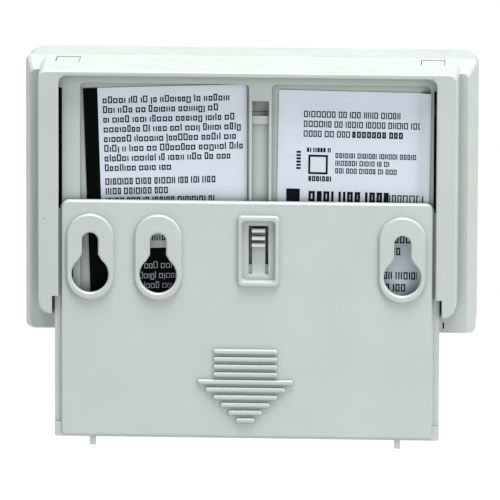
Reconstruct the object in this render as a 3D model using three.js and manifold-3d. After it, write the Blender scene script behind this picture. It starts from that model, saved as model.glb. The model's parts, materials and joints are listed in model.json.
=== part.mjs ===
// A wall-hung carbon monoxide alarm, in millimetres, +Z up.
// The back (wall side) faces +Y and the front (display side) faces -Y.
// The origin is on the wall plane, behind the middle of the case.
// The back plate is drawn half way down in its rails.
import * as THREE from 'three';
import { mergeVertices } from 'three/addons/utils/BufferGeometryUtils.js';
import Module from 'manifold-3d';

const wasm = await Module();
wasm.setup();

// ---------- driving dimensions ----------

// The case
const CASE_HALF_WIDTH = 57.15;
const CASE_HALF_HEIGHT = 35.2;
const CASE_CORNER = 1.8;
const FRONT_Y = -38.1; // front face
const SPLIT_Y = -19.5; // where the two shells meet
const SPLIT_GAP = 0.1;
const SHOULDER_Y = -10; // the step round the raised back
const SHOULDER = { halfWidth: 55.45, bottom: -33.6, top: 32.85, corner: 1.6 };
const WALL = 2; // shell thickness
const EDGE = 0.45; // rounding of the moulded edges
const DRAFT = 0.5; // how far the raised back spreads at its foot
const SNAP_WINDOW = { x: [42.9, 49.2], y: [-17.4, -11.2] }; // in the top wall, on both sides
const SNAP_TAB_X = [43.2, 48.9];
const VENT_SLIT = { x: [-49.45, -49.05], z: [-32.5, -30.9] }; // in the shoulder

// The raised back, its recess and the floor of the recess
const BACK_HALF_WIDTH = 52.6;
const BACK_TOP = 33.65;
const BACK_BOTTOM = -28.2;
const BACK_CORNER_TOP = 1.9;
const BACK_CORNER_BOTTOM = 3.3;
const BELOW = BACK_BOTTOM - 8; // clear of everything under the raised back
const RECESS_HALF_WIDTH = 47.45;
const RECESS_TOP = 32.4;
const RECESS_CORNER = 2.1;
const FLOOR_Y = -3.1;
const FLOOR_THICKNESS = 2.6;
const UNDER_FLOOR = FLOOR_Y - FLOOR_THICKNESS;
const MOUTH_CHAMFER = 0.3;

// The rails: a lip on each side, over a groove
const GROOVE_HALF_WIDTH = 48.75;
const LIP_THICKNESS = 1.3;
const LIP_BOTTOM = -23.6;
const GROOVE_TOP = 30;
const NOTCH_HALF_WIDTH = 49.1;
const RAIL_SLOT_INNER = 46.7;
const RAIL_SLOTS = [[-2.5, 29], [-21, -6], [-27.4, -22.5]]; // from and to, in z
const MOULD_SLOT = { x: [43.95, 45.1], z: [-19.9, -16.3] }; // beside the left bay

// The label bays and the latch channel between them
const BAY_DEPTH = 1.2;
const BAY_TOP = 30.3;
const BAY_BOTTOM = -25.5;
const BAY_CORNER = 1.2;
const LEFT_BAY = [-0.35, 42.2]; // from and to, in x
const RIGHT_BAY = [-45.8, -6.0];
const CHANNEL = [-5.3, -1.05];
const CHANNEL_DEPTH = 1.2;
const CROSS_BAR = [20.2, 22.24]; // from and to, in z
const CROSS_BAR_DROP = 0.6; // below the floor of the recess
const POCKET = { top: 26.04, depth: 2.2 }; // above the bar, where the latch's hook springs out

// The labels
const PAPER = 0.15;
const RATING_HEIGHT = 51.5;
const LABEL_MIDDLE = { x: -27, z: 2.6 };
const RATING_TURN = -0.8; // degrees

// The back plate
const PLATE_HALF_WIDTH = 47;
const PLATE_TOP = 0.75;
const PLATE_BOTTOM = -59.6;
const PLATE_CORNER = 2.2;
const PLATE_FACE_Y = -0.8;
const PLATE_BACK_Y = -2.7;
const PLATE_BEVEL = 1.2; // the sloped foot of the plate
const PLATE_EDGE = 0.35;
const PLATE_FOOT_CORNER = 0.4;
const FLANGE_HALF_WIDTH = 48.45;
const FLANGE_Y = -1.6;
const FLANGE_TOP = -1.6;
const CORNER_BLOCK_TOP = -55.95;
const PEG_X = [38.85, -38.0];
const PEG_WIDTH = 1.5;
const PEG_LENGTH = 2.2;

// The keyholes
const KEYHOLE_X = { left: 39.5, middle: 22.35, right: -39.1 };
const PAD_WIDTH = 12.1;
const PAD_TOP = -2.6;
const PAD_BOTTOM = -24.5;
const SLOT_WIDTH = 4.1;
const SLOT_TOP = -7.35;
const HEAD_RADIUS = 4.65;
const HEAD_Z = -18;
const KEYHOLE_LIP = 1.3; // thickness of the pad round the slot
const KEYHOLE_CHAMFER = 0.25;
const MOUTH_FLARE = 0.9; // how much wider the slot is on each side where it meets the head
const PAD_WALL = 1;

// The latch and its frame
const LATCH_X = -2.9;
const FRAME_WIDTH = 10.6;
const FRAME_TOP = -2.6;
const FRAME_BOTTOM = -20.7;
const FRAME_INNER_WIDTH = 8.2;
const FRAME_INNER_TOP = -4.0;
const FRAME_INNER_BOTTOM = -19.3;
const FRAME_FLOOR_Y = -1.3;
const TONGUE_SLOT_WIDTH = 5;
const TONGUE_SLOT_TOP = -5.3;
const TONGUE_WIDTH = 3.4;
const TONGUE_TOP = -6;
const TONGUE_ROOT = -15.1;
const TONGUE_GAP = 0.15;
const TONGUE_VALLEY_Y = -2.05;
const TONGUE_CREST_Y = -0.55;
const TONGUE_RIBS = [[-10.45, -9.85], [-8.6, -8.05], [-6.85, -6.25]]; // the crest of each, in z
const RIB_SLOPE = 0.27;
const HOOK_Y = -3.5;

// The arrow of raised ribs: the width of each rib, from the top down
const ARROW_X = 0.3;
const ARROW_TOP = -37.35;
const ARROW_PITCH = 1.95;
const ARROW_RIB = 1.25;
const ARROW_HEIGHT = 0.6;
const ARROW_WIDTHS = [16.3, 16.3, 16.3, 16.3, 24.3, 20.3, 16.4, 12.6, 8.7, 4.9];

// The front
const FACE_ROUND = 3;
const WINDOW = { x: 14, z: 10, width: 40, height: 18 };
const TEST_BUTTON = { x: 4, z: -15, width: 20, height: 9 };
const PEAK_BUTTON = { x: 28, z: -15, width: 14, height: 9 };
const BUTTON_GAP = 0.35;
const BUTTON_PROUD = 0.9;
const BUTTON_TRAVEL = 0.8;
const GRILLE = { x: -34, z: 0, radius: 15, slot: 1.7, pitch: 3.6, count: 7 };
const LED_HOLE = 1.75;
const LED_RADIUS = 1.5;
const LEDS = [
  { name: 'led_red', lens: 'red_lens', z: 16 },
  { name: 'led_amber', lens: 'amber_lens', z: 8 },
  { name: 'led_green', lens: 'green_lens', z: 0 },
];
const LED_X = 46;

// The circuit board and what is on it
const BOARD_FRONT_Y = -27.6;
const BOARD_BACK_Y = -26;
const BOARD_HALF_WIDTH = 50;
const BOARD_HALF_HEIGHT = 25.5;
const SEAT = 0.15; // the gap under each fitted piece
const BOARD_SCREWS = { board_screw_left: [-46, 21], board_screw_right: [46, -20] };
const CASE_SCREWS = { case_screw_left: [-40, -30.4], case_screw_right: [40, -30.4] };
const SCREW_HEAD_DEPTH = 1.6; // how far a case screw's head sits under the shoulder
const SENSOR = { x: -34, z: 2, radius: 9.5, height: 9 };
const CAP_HOLES = { count: 5, circle: 3.4, radius: 0.6 };
const CELL = { radius: 8.5, left: -9, right: 25.5, lift: 8.6, z: 13 };
const TAB_THICKNESS = 0.4;
const CHIP = { x: [-5, 5], z: [-17, -7], height: 1.5 };
const COIL = { x: 18, z: -12, radius: 5, wound: 3.9, height: 8 };
const CAPACITOR = { x: 34, z: -10, radius: 4, height: 11 };
const TRANSISTOR = { x: [24.8, 29.2], z: [-21, -18], height: 4.6 };
const HORN = { radius: 14, bore: 12.6, floor: 1.4 };

// Fineness of the round stretches
const CORNER_STEPS = 2;
const PAD_STEPS = 4;
const KEYHOLE_STEPS = 6;
const SMALL_STEPS = 14;
const ROUND_STEPS = 22;
const ROUND_END = 0.12; // how much flat a round-ended outline keeps at its tip

// ---------- shapes and solids ----------

// The solid inside a closed three.js geometry.
function solid(geometry) {
  const bare = geometry.index ? geometry.toNonIndexed() : geometry;
  bare.deleteAttribute('normal');
  bare.deleteAttribute('uv');
  const merged = mergeVertices(bare, 1e-4);
  return new wasm.Manifold(new wasm.Mesh({
    numProp: 3,
    vertProperties: new Float32Array(merged.attributes.position.array),
    triVerts: new Uint32Array(merged.index.array),
  }));
}

function geometryOf(body) {
  const mesh = body.getMesh();
  const geometry = new THREE.BufferGeometry();
  geometry.setAttribute('position', new THREE.BufferAttribute(new Float32Array(mesh.vertProperties), 3));
  geometry.setIndex(new THREE.BufferAttribute(new Uint32Array(mesh.triVerts), 1));
  geometry.computeVertexNormals();
  return geometry;
}

function joined(bodies) {
  return bodies.reduce((sum, body) => sum.add(body));
}

function cutBy(body, cutters) {
  return cutters.reduce((left, cutter) => left.subtract(cutter), body);
}

// A rectangle with round corners, drawn in x and z: x0 < x1, z0 < z1.
function roundedRect(x0, x1, z0, z1, topRadius, bottomRadius = topRadius) {
  const shape = new THREE.Shape();
  shape.moveTo(x0 + bottomRadius, z0);
  shape.absarc(x1 - bottomRadius, z0 + bottomRadius, bottomRadius, -Math.PI / 2, 0);
  shape.absarc(x1 - topRadius, z1 - topRadius, topRadius, 0, Math.PI / 2);
  shape.absarc(x0 + topRadius, z1 - topRadius, topRadius, Math.PI / 2, Math.PI);
  shape.absarc(x0 + bottomRadius, z0 + bottomRadius, bottomRadius, Math.PI, 1.5 * Math.PI);
  return shape;
}

// A shape of x and z, filled from y = low to y = high. A round of the given size runs along both edges.
function slab(shape, low, high, round = 0, steps = CORNER_STEPS) {
  const geometry = new THREE.ExtrudeGeometry(shape, {
    depth: high - low - 2 * round,
    curveSegments: steps,
    bevelEnabled: round > 0,
    bevelThickness: round,
    bevelSize: round,
    bevelOffset: -round,
    bevelSegments: 2,
  });
  return solid(geometry.rotateX(Math.PI / 2).translate(0, high - round, 0));
}

function box(x, y, z) {
  const geometry = new THREE.BoxGeometry(x[1] - x[0], y[1] - y[0], z[1] - z[0]);
  return solid(geometry.translate((x[0] + x[1]) / 2, (y[0] + y[1]) / 2, (z[0] + z[1]) / 2));
}

// A round bar along y.
function rod(x, z, radius, low, high, steps = ROUND_STEPS) {
  const geometry = new THREE.CylinderGeometry(radius, radius, high - low, steps);
  return solid(geometry.translate(x, (low + high) / 2, z));
}

// A turned piece about an axis along y: the profile is [radius, y] points, from axis to axis.
function turned(x, z, profile, steps = ROUND_STEPS) {
  const points = profile.map(([radius, y]) => new THREE.Vector2(radius, y));
  return solid(new THREE.LatheGeometry(points, steps).translate(x, 0, z));
}

// A profile of [y, z] points, run along x from x0 to x1.
function bar(profile, x0, x1) {
  const shape = new THREE.Shape(profile.map(([y, z]) => new THREE.Vector2(y, z)));
  const geometry = new THREE.ExtrudeGeometry(shape, { depth: x1 - x0, bevelEnabled: false });
  const turn = new THREE.Matrix4().makeBasis(
    new THREE.Vector3(0, 1, 0),
    new THREE.Vector3(0, 0, 1),
    new THREE.Vector3(1, 0, 0),
  );
  return solid(geometry.applyMatrix4(turn).translate(x0, 0, 0));
}

// A shell form through sections at rising y. Each section is a round-cornered rectangle.
function loft(sections) {
  const loops = sections.map((s) => {
    const bottom = s.bottomCorner ?? s.corner;
    return roundedRect(-s.halfWidth, s.halfWidth, s.bottom, s.top, s.corner, bottom).getPoints(CORNER_STEPS);
  });
  const count = loops[0].length - (loops[0][0].distanceTo(loops[0].at(-1)) < 1e-6 ? 1 : 0);
  const positions = [];
  const index = [];
  loops.forEach((loop, level) => {
    for (const point of loop.slice(0, count)) {
      positions.push(point.x, sections[level].y, point.y);
    }
  });
  for (let level = 0; level + 1 < loops.length; level += 1) {
    for (let i = 0; i < count; i += 1) {
      const next = (i + 1) % count;
      const a = level * count + i;
      const b = level * count + next;
      const c = b + count;
      const d = a + count;
      index.push(a, d, c, a, c, b);
    }
  }
  const caps = THREE.ShapeUtils.triangulateShape(loops[0].slice(0, count), []);
  const last = (loops.length - 1) * count;
  for (const [a, b, c] of caps) {
    index.push(a, b, c);
    index.push(last + a, last + c, last + b);
  }
  const geometry = new THREE.BufferGeometry();
  geometry.setAttribute('position', new THREE.Float32BufferAttribute(positions, 3));
  geometry.setIndex(index);
  return solid(geometry);
}

// Sections of a round edge that ends in a flat face at y = faceY, seen from a wall that runs along y.
function roundEdge(section, faceY, radius, steps) {
  const side = Math.sign(faceY - section.y);
  return Array.from({ length: steps + 1 }, (_, step) => {
    const angle = (step / steps) * (Math.PI / 2);
    const inset = radius * (1 - Math.cos(angle));
    return {
      y: faceY - side * radius * (1 - Math.sin(angle)),
      halfWidth: section.halfWidth - inset,
      bottom: section.bottom + inset,
      top: section.top - inset,
      corner: Math.max(section.corner - inset * 0.5, 0.3),
      bottomCorner: Math.max((section.bottomCorner ?? section.corner) - inset * 0.5, 0.3),
    };
  });
}

// ---------- materials ----------

const MATERIALS = {
  case_plastic: { color: 0xd4d8d4, roughness: 0.5, metalness: 0 },
  plate_plastic: { color: 0xcbd0cc, roughness: 0.5, metalness: 0 },
  label_paper: { color: 0xdfe6ee, roughness: 0.4, metalness: 0 },
  dark_window: { color: 0x22262a, roughness: 0.15, metalness: 0 },
  button_plastic: { color: 0xb9bebb, roughness: 0.5, metalness: 0 },
  board_green: { color: 0x1d5a36, roughness: 0.5, metalness: 0 },
  black_plastic: { color: 0x17181a, roughness: 0.5, metalness: 0 },
  grey_plastic: { color: 0x7d8285, roughness: 0.55, metalness: 0 },
  steel: { color: 0xb5b8ba, roughness: 0.3, metalness: 1 },
  brass: { color: 0xc9a553, roughness: 0.35, metalness: 1 },
  copper: { color: 0xb0663a, roughness: 0.4, metalness: 1 },
  cell_wrap: { color: 0x2f5c8c, roughness: 0.4, metalness: 0 },
  red_lens: { color: 0xc0251c, roughness: 0.2, metalness: 0 },
  amber_lens: { color: 0xd88a18, roughness: 0.2, metalness: 0 },
  green_lens: { color: 0x2c9c46, roughness: 0.2, metalness: 0 },
};

// ---------- the rear housing ----------

function shoulderSections() {
  const rim = {
    y: SPLIT_Y + SPLIT_GAP,
    halfWidth: CASE_HALF_WIDTH,
    bottom: -CASE_HALF_HEIGHT,
    top: CASE_HALF_HEIGHT,
    corner: CASE_CORNER,
  };
  return [rim, ...roundEdge({ ...SHOULDER, y: rim.y }, SHOULDER_Y, EDGE, 3)];
}

function raisedBackSections() {
  const foot = {
    y: SPLIT_Y + SPLIT_GAP,
    halfWidth: BACK_HALF_WIDTH + DRAFT,
    bottom: BACK_BOTTOM - DRAFT,
    top: CASE_HALF_HEIGHT - 0.1,
    corner: BACK_CORNER_TOP,
    bottomCorner: BACK_CORNER_BOTTOM,
  };
  const head = {
    y: foot.y,
    halfWidth: BACK_HALF_WIDTH,
    bottom: BACK_BOTTOM,
    top: BACK_TOP,
    corner: BACK_CORNER_TOP,
    bottomCorner: BACK_CORNER_BOTTOM,
  };
  return [foot, ...roundEdge(head, 0, EDGE, 3)];
}

// The hollow behind the shoulder, and the deeper one under the floor of the recess.
function housingCavity() {
  const corner = 1;
  const mouthY = SPLIT_Y - 1;
  const wideMouth = {
    y: mouthY,
    halfWidth: CASE_HALF_WIDTH - WALL,
    bottom: WALL - CASE_HALF_HEIGHT,
    top: CASE_HALF_HEIGHT - WALL,
    corner,
  };
  const wideEnd = {
    y: SHOULDER_Y - WALL,
    halfWidth: SHOULDER.halfWidth - WALL,
    bottom: SHOULDER.bottom + WALL,
    top: SHOULDER.top - WALL,
    corner,
  };
  const deepEnd = {
    y: UNDER_FLOOR,
    halfWidth: BACK_HALF_WIDTH - WALL,
    bottom: BACK_BOTTOM + WALL,
    top: BACK_TOP - WALL,
    corner,
  };
  const wide = loft([wideMouth, wideEnd]);
  const deep = loft([{ ...deepEnd, y: mouthY }, deepEnd]);
  return wide.add(deep);
}

// The recess that the plate slides in, open at the bottom, with the grooves under its lips.
function recessCutters() {
  const above = 1;
  const mouth = { halfWidth: RECESS_HALF_WIDTH, bottom: BELOW, top: RECESS_TOP, corner: RECESS_CORNER };
  const outline = roundedRect(-mouth.halfWidth, mouth.halfWidth, BELOW, RECESS_TOP, RECESS_CORNER);
  const chamfer = loft([
    { ...mouth, y: -MOUTH_CHAMFER },
    { ...mouth, y: 0.05, halfWidth: mouth.halfWidth + MOUTH_CHAMFER, top: mouth.top + MOUTH_CHAMFER },
  ]);
  return [
    slab(outline, FLOOR_Y, above),
    chamfer,
    box([-GROOVE_HALF_WIDTH, GROOVE_HALF_WIDTH], [FLOOR_Y, -LIP_THICKNESS], [BELOW, GROOVE_TOP]),
    box([-NOTCH_HALF_WIDTH, NOTCH_HALF_WIDTH], [FLOOR_Y, above], [BELOW, LIP_BOTTOM]),
  ];
}

// The long slots beside the floor, which a mould needs to form the lips.
function railSlots() {
  const cutters = [];
  for (const side of [-1, 1]) {
    for (const [low, high] of RAIL_SLOTS) {
      const edges = [side * RAIL_SLOT_INNER, side * GROOVE_HALF_WIDTH].sort((a, b) => a - b);
      cutters.push(box(edges, [UNDER_FLOOR - 1, FLOOR_Y + 0.5], [low, high]));
    }
  }
  return cutters;
}

function bay([x0, x1]) {
  const shape = roundedRect(x0, x1, BAY_BOTTOM, BAY_TOP, BAY_CORNER);
  return slab(shape, FLOOR_Y - BAY_DEPTH, FLOOR_Y + 0.6);
}

// The channel that the latch's hook runs in, open at the bottom, so that the plate comes off.
function latchChannel() {
  const high = FLOOR_Y + 0.5;
  const [barLow, barHigh] = CROSS_BAR;
  return [
    box(CHANNEL, [FLOOR_Y - CHANNEL_DEPTH, high], [BELOW, barLow]),
    box(CHANNEL, [FLOOR_Y - CROSS_BAR_DROP, high], [barLow - 0.1, barHigh + 0.1]),
    box(CHANNEL, [FLOOR_Y - POCKET.depth, high], [barHigh, POCKET.top]),
  ];
}

function screwColumn(x, z) {
  const column = rod(x, z, 3, SPLIT_Y + SPLIT_GAP, SHOULDER_Y - 0.5);
  return column.intersect(loft(shoulderSections()));
}

function rearHousing() {
  const snapWindows = [-1, 1].map((side) => {
    const edges = SNAP_WINDOW.x.map((x) => side * x).sort((a, b) => a - b);
    return box(edges, SNAP_WINDOW.y, [BACK_TOP - WALL - 3, CASE_HALF_HEIGHT + 3]);
  });
  const screwHoles = Object.values(CASE_SCREWS).flatMap(([x, z]) => [
    rod(x, z, 1.6, SPLIT_Y - 1, SHOULDER_Y + 1),
    rod(x, z, 2.35, SHOULDER_Y - SCREW_HEAD_DEPTH, SHOULDER_Y + 0.5),
  ]);
  const shell = loft(shoulderSections()).add(loft(raisedBackSections())).subtract(housingCavity());
  const withColumns = joined([shell, ...Object.values(CASE_SCREWS).map(([x, z]) => screwColumn(x, z))]);
  return cutBy(withColumns, [
    ...recessCutters(),
    ...railSlots(),
    bay(LEFT_BAY),
    bay(RIGHT_BAY),
    ...latchChannel(),
    ...snapWindows,
    ...screwHoles,
    box(MOULD_SLOT.x, [UNDER_FLOOR - 1, FLOOR_Y + 0.5], MOULD_SLOT.z),
    box(VENT_SLIT.x, [SHOULDER_Y - WALL - 1, SHOULDER_Y + 0.5], VENT_SLIT.z),
  ]);
}

// ---------- the front cover ----------

function coverSections(inset, faceY, endY) {
  const base = {
    halfWidth: CASE_HALF_WIDTH - inset,
    bottom: -CASE_HALF_HEIGHT + inset,
    top: CASE_HALF_HEIGHT - inset,
    corner: CASE_CORNER + 0.6,
  };
  const round = Math.max(FACE_ROUND - inset / 2, 1);
  const face = roundEdge({ ...base, y: endY, corner: 4 }, faceY, round, 4);
  return [...face.reverse(), { ...base, y: -30 }, { ...base, y: endY }];
}

function grilleSlots() {
  const slots = [];
  for (let i = 0; i < GRILLE.count; i += 1) {
    const offset = (i - (GRILLE.count - 1) / 2) * GRILLE.pitch;
    const reach = Math.sqrt(GRILLE.radius ** 2 - offset ** 2);
    const z = GRILLE.z + offset;
    const half = GRILLE.slot / 2;
    const shape = roundedRect(GRILLE.x - reach, GRILLE.x + reach, z - half, z + half, half - ROUND_END);
    slots.push(slab(shape, FRONT_Y - 1, FRONT_Y + WALL + 1));
  }
  return slots;
}

function faceOpening({ x, z, width, height }, corner) {
  const shape = roundedRect(x - width / 2, x + width / 2, z - height / 2, z + height / 2, corner);
  return slab(shape, FRONT_Y - 1, FRONT_Y + WALL + 1);
}

// A hook on the cover's top edge, in the snap window of the housing. The profile is [y, z] points.
function snapTab(side) {
  const profile = [
    [-22.5, 31.2],
    [-11.5, 31.2],
    [-11.5, 34.35],
    [-17.1, 34.8],
    [-17.1, 32.1],
    [-20.0, 32.1],
    [-20.0, 34.4],
    [-22.5, 34.4],
  ];
  const edges = SNAP_TAB_X.map((x) => side * x).sort((a, b) => a - b);
  return bar(profile, edges[0], edges[1]);
}

function frontCover() {
  const outer = loft(coverSections(0, FRONT_Y, SPLIT_Y - SPLIT_GAP));
  const inner = loft(coverSections(WALL, FRONT_Y + WALL, SPLIT_Y + 1));
  const posts = (screws, high) => Object.values(screws).map(([x, z]) => rod(x, z, 2.5, FRONT_Y + 1, high));
  const shell = joined([
    outer.subtract(inner),
    ...posts(CASE_SCREWS, SPLIT_Y - SPLIT_GAP),
    ...posts(BOARD_SCREWS, BOARD_FRONT_Y - SEAT),
    snapTab(-1),
    snapTab(1),
  ]);
  const gap = 2 * BUTTON_GAP;
  const buttonHoles = [TEST_BUTTON, PEAK_BUTTON].map((b) => {
    return faceOpening({ ...b, width: b.width + gap, height: b.height + gap }, 2 + BUTTON_GAP);
  });
  return cutBy(shell, [
    ...grilleSlots(),
    faceOpening(WINDOW, 2),
    ...buttonHoles,
    ...LEDS.map(({ z }) => rod(LED_X, z, LED_HOLE, FRONT_Y - 1, FRONT_Y + WALL + 1)),
    ...Object.values(CASE_SCREWS).map(([x, z]) => rod(x, z, 1.25, -31, SPLIT_Y + 1)),
    ...Object.values(BOARD_SCREWS).map(([x, z]) => rod(x, z, 1.05, -34.5, BOARD_FRONT_Y + 1)),
  ]);
}

// ---------- the back plate and its latch ----------

function keyholeShape(x, grow = 0) {
  const half = SLOT_WIDTH / 2 + grow;
  const radius = HEAD_RADIUS + grow;
  const flare = half + MOUTH_FLARE;
  const meet = Math.PI / 2 - Math.asin(flare / radius);
  const neck = HEAD_Z + radius * Math.sin(meet) + 1.5;
  const shape = new THREE.Shape();
  shape.moveTo(x + half, neck);
  shape.absarc(x, SLOT_TOP + grow - half, half, 0, Math.PI);
  shape.lineTo(x - half, neck);
  shape.absarc(x, HEAD_Z, radius, Math.PI - meet, 2 * Math.PI + meet);
  return shape;
}

function keyholePad(x) {
  const half = PAD_WIDTH / 2;
  const shape = roundedRect(x - half, x + half, PAD_BOTTOM, PAD_TOP, half - ROUND_END);
  return slab(shape, PLATE_FACE_Y - 1, 0, 0.35, PAD_STEPS);
}

function keyholeCutters(x) {
  const half = PAD_WIDTH / 2 - PAD_WALL;
  const pocket = roundedRect(x - half, x + half, PAD_BOTTOM + PAD_WALL, PAD_TOP - PAD_WALL, half - ROUND_END);
  return [
    slab(keyholeShape(x), PLATE_BACK_Y - 1, 1, 0, KEYHOLE_STEPS),
    slab(pocket, PLATE_BACK_Y - 1, -KEYHOLE_LIP, 0, PAD_STEPS),
    slab(keyholeShape(x, KEYHOLE_CHAMFER), -KEYHOLE_CHAMFER, 1, 0, KEYHOLE_STEPS),
  ];
}

function arrowRibs() {
  return ARROW_WIDTHS.map((width, i) => {
    const z = ARROW_TOP - i * ARROW_PITCH;
    const half = ARROW_RIB / 2;
    const shape = roundedRect(ARROW_X - width / 2, ARROW_X + width / 2, z - half, z + half, half - ROUND_END);
    return slab(shape, PLATE_FACE_Y - 1, PLATE_FACE_Y + ARROW_HEIGHT, 0.3);
  });
}

// The sheet with its sloped foot, the flanges that run in the grooves, and the two pegs.
function plateBlank() {
  const wide = {
    halfWidth: PLATE_HALF_WIDTH,
    bottom: PLATE_BOTTOM,
    top: PLATE_TOP,
    corner: PLATE_CORNER,
    bottomCorner: PLATE_FOOT_CORNER,
  };
  const eased = { ...wide, halfWidth: wide.halfWidth - 0.1, bottom: wide.bottom + 0.5, top: wide.top - 0.1 };
  const face = {
    ...wide,
    halfWidth: wide.halfWidth - PLATE_EDGE,
    bottom: wide.bottom + PLATE_BEVEL,
    top: wide.top - PLATE_EDGE,
  };
  const sheet = loft([
    { ...wide, y: PLATE_BACK_Y },
    { ...wide, y: PLATE_FACE_Y - PLATE_EDGE },
    { ...eased, y: PLATE_FACE_Y - 0.1 },
    { ...face, y: PLATE_FACE_Y },
  ]);
  const half = FLANGE_HALF_WIDTH;
  const flange = roundedRect(-half, half, PLATE_BOTTOM, FLANGE_TOP, 0.6, PLATE_FOOT_CORNER);
  const corners = roundedRect(-half, half, PLATE_BOTTOM, CORNER_BLOCK_TOP, 0.3, PLATE_FOOT_CORNER);
  const pegs = PEG_X.map((x) => {
    const edges = [x - PEG_WIDTH / 2, x + PEG_WIDTH / 2];
    return box(edges, [PLATE_BACK_Y, FLANGE_Y + 0.3], [PLATE_BOTTOM - PEG_LENGTH, PLATE_BOTTOM + 1]);
  });
  return joined([
    sheet,
    slab(flange, PLATE_BACK_Y, FLANGE_Y),
    slab(corners, PLATE_BACK_Y, PLATE_FACE_Y - PLATE_EDGE),
    ...pegs,
  ]);
}

function mountingPlate() {
  const halfFrame = FRAME_WIDTH / 2;
  const halfInner = FRAME_INNER_WIDTH / 2;
  const halfSlot = TONGUE_SLOT_WIDTH / 2;
  const frame = roundedRect(LATCH_X - halfFrame, LATCH_X + halfFrame, FRAME_BOTTOM, FRAME_TOP, 1);
  const inner = roundedRect(LATCH_X - halfInner, LATCH_X + halfInner, FRAME_INNER_BOTTOM, FRAME_INNER_TOP, 1);
  const body = joined([
    plateBlank(),
    ...Object.values(KEYHOLE_X).map(keyholePad),
    ...arrowRibs(),
    slab(frame, PLATE_FACE_Y - 1, 0, 0.3),
  ]);
  const slotZ = [TONGUE_ROOT - TONGUE_GAP, TONGUE_SLOT_TOP];
  return cutBy(body, [
    ...Object.values(KEYHOLE_X).flatMap(keyholeCutters),
    slab(inner, FRAME_FLOOR_Y, 1),
    box([LATCH_X - halfSlot, LATCH_X + halfSlot], [PLATE_BACK_Y - 1, 1], slotZ),
  ]);
}

// The tongue seen from the side, as [y, z] points: a root, a slope, three grip ribs and a hook.
function plateLatch() {
  const low = PLATE_BACK_Y + 0.1;
  const ribs = TONGUE_RIBS.flatMap(([from, to]) => [
    [TONGUE_VALLEY_Y, from - RIB_SLOPE],
    [TONGUE_CREST_Y, from],
    [TONGUE_CREST_Y, to],
    [TONGUE_VALLEY_Y, to + RIB_SLOPE],
  ]);
  const profile = [
    [low, TONGUE_ROOT],
    [FRAME_FLOOR_Y, TONGUE_ROOT],
    [FRAME_FLOOR_Y, -14.6],
    [TONGUE_VALLEY_Y, -11.6],
    ...ribs.slice(0, -1),
    [-0.8, TONGUE_TOP],
    [low, TONGUE_TOP],
    [HOOK_Y, -6.9],
    [HOOK_Y, -7.6],
    [low, -7.6],
  ];
  return bar(profile, LATCH_X - TONGUE_WIDTH / 2, LATCH_X + TONGUE_WIDTH / 2);
}

// ---------- the labels ----------

// Lies on the floor of the left bay, turned a little, with its right edge along the bay's lip.
function instructionLabel() {
  const shape = new THREE.Shape([
    new THREE.Vector2(39.6, -24.2),
    new THREE.Vector2(41.5, 28.7),
    new THREE.Vector2(0.35, 30.15),
    new THREE.Vector2(0.15, -22.9),
  ].reverse());
  return slab(shape, FLOOR_Y - BAY_DEPTH + 0.05, FLOOR_Y - BAY_DEPTH + 0.05 + PAPER);
}

// Lies in the right bay and laps up over its outer lip.
// Its own middle is its origin, so that it can be turned.
function ratingLabel() {
  const low = FLOOR_Y - BAY_DEPTH + 0.05;
  const lip = FLOOR_Y + 0.05;
  const profile = new THREE.Shape([
    new THREE.Vector2(-7.9, low),
    new THREE.Vector2(-7.9, low + PAPER),
    new THREE.Vector2(-43.5, low + PAPER),
    new THREE.Vector2(-44.8, lip + PAPER),
    new THREE.Vector2(-46.2, lip + PAPER),
    new THREE.Vector2(-46.2, lip),
    new THREE.Vector2(-44.9, lip),
    new THREE.Vector2(-43.6, low),
  ]);
  const geometry = new THREE.ExtrudeGeometry(profile, { depth: RATING_HEIGHT, bevelEnabled: false });
  return solid(geometry.translate(-LABEL_MIDDLE.x, 0, -RATING_HEIGHT / 2));
}

// ---------- the front's buttons and window ----------

function displayLens() {
  const gap = 0.2;
  const { x, z, width, height } = WINDOW;
  const halfWidth = width / 2 - gap;
  const halfHeight = height / 2 - gap;
  const shape = roundedRect(x - halfWidth, x + halfWidth, z - halfHeight, z + halfHeight, 1.8);
  return slab(shape, FRONT_Y + 0.1, FRONT_Y + 1.7);
}

// A cap that stands proud of the face, a flange that keeps it in, and a stem behind.
function pressButton({ x, z, width, height }) {
  const halfWidth = width / 2;
  const halfHeight = height / 2;
  const cap = roundedRect(x - halfWidth, x + halfWidth, z - halfHeight, z + halfHeight, 2);
  const flange = roundedRect(x - halfWidth - 1, x + halfWidth + 1, z - halfHeight - 1, z + halfHeight + 1, 2);
  const back = FRONT_Y + WALL;
  return joined([
    slab(cap, FRONT_Y - BUTTON_PROUD, back + 0.6, 0.4),
    slab(flange, back + 0.15, back + 1.15),
    rod(x, z, 2, back + 1, back + 3, SMALL_STEPS),
  ]);
}

function tactSwitch({ x, z }) {
  const top = FRONT_Y + WALL + 3 + BUTTON_TRAVEL + 0.15;
  const body = box([x - 3, x + 3], [top + 1, BOARD_FRONT_Y - SEAT], [z - 3, z + 3]);
  return body.add(rod(x, z, 1.6, top, top + 1.5, SMALL_STEPS));
}

function ledLamp(z) {
  const foot = BOARD_FRONT_Y - SEAT;
  const tip = FRONT_Y + 0.2;
  const dome = 1.2;
  return turned(LED_X, z, [
    [0, foot],
    [LED_RADIUS + 0.4, foot],
    [LED_RADIUS + 0.4, foot - 1],
    [LED_RADIUS, foot - 1],
    [LED_RADIUS, tip + dome],
    [LED_RADIUS * 0.7, tip + dome * 0.3],
    [0, tip],
  ].reverse(), SMALL_STEPS);
}

// ---------- the works ----------

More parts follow.
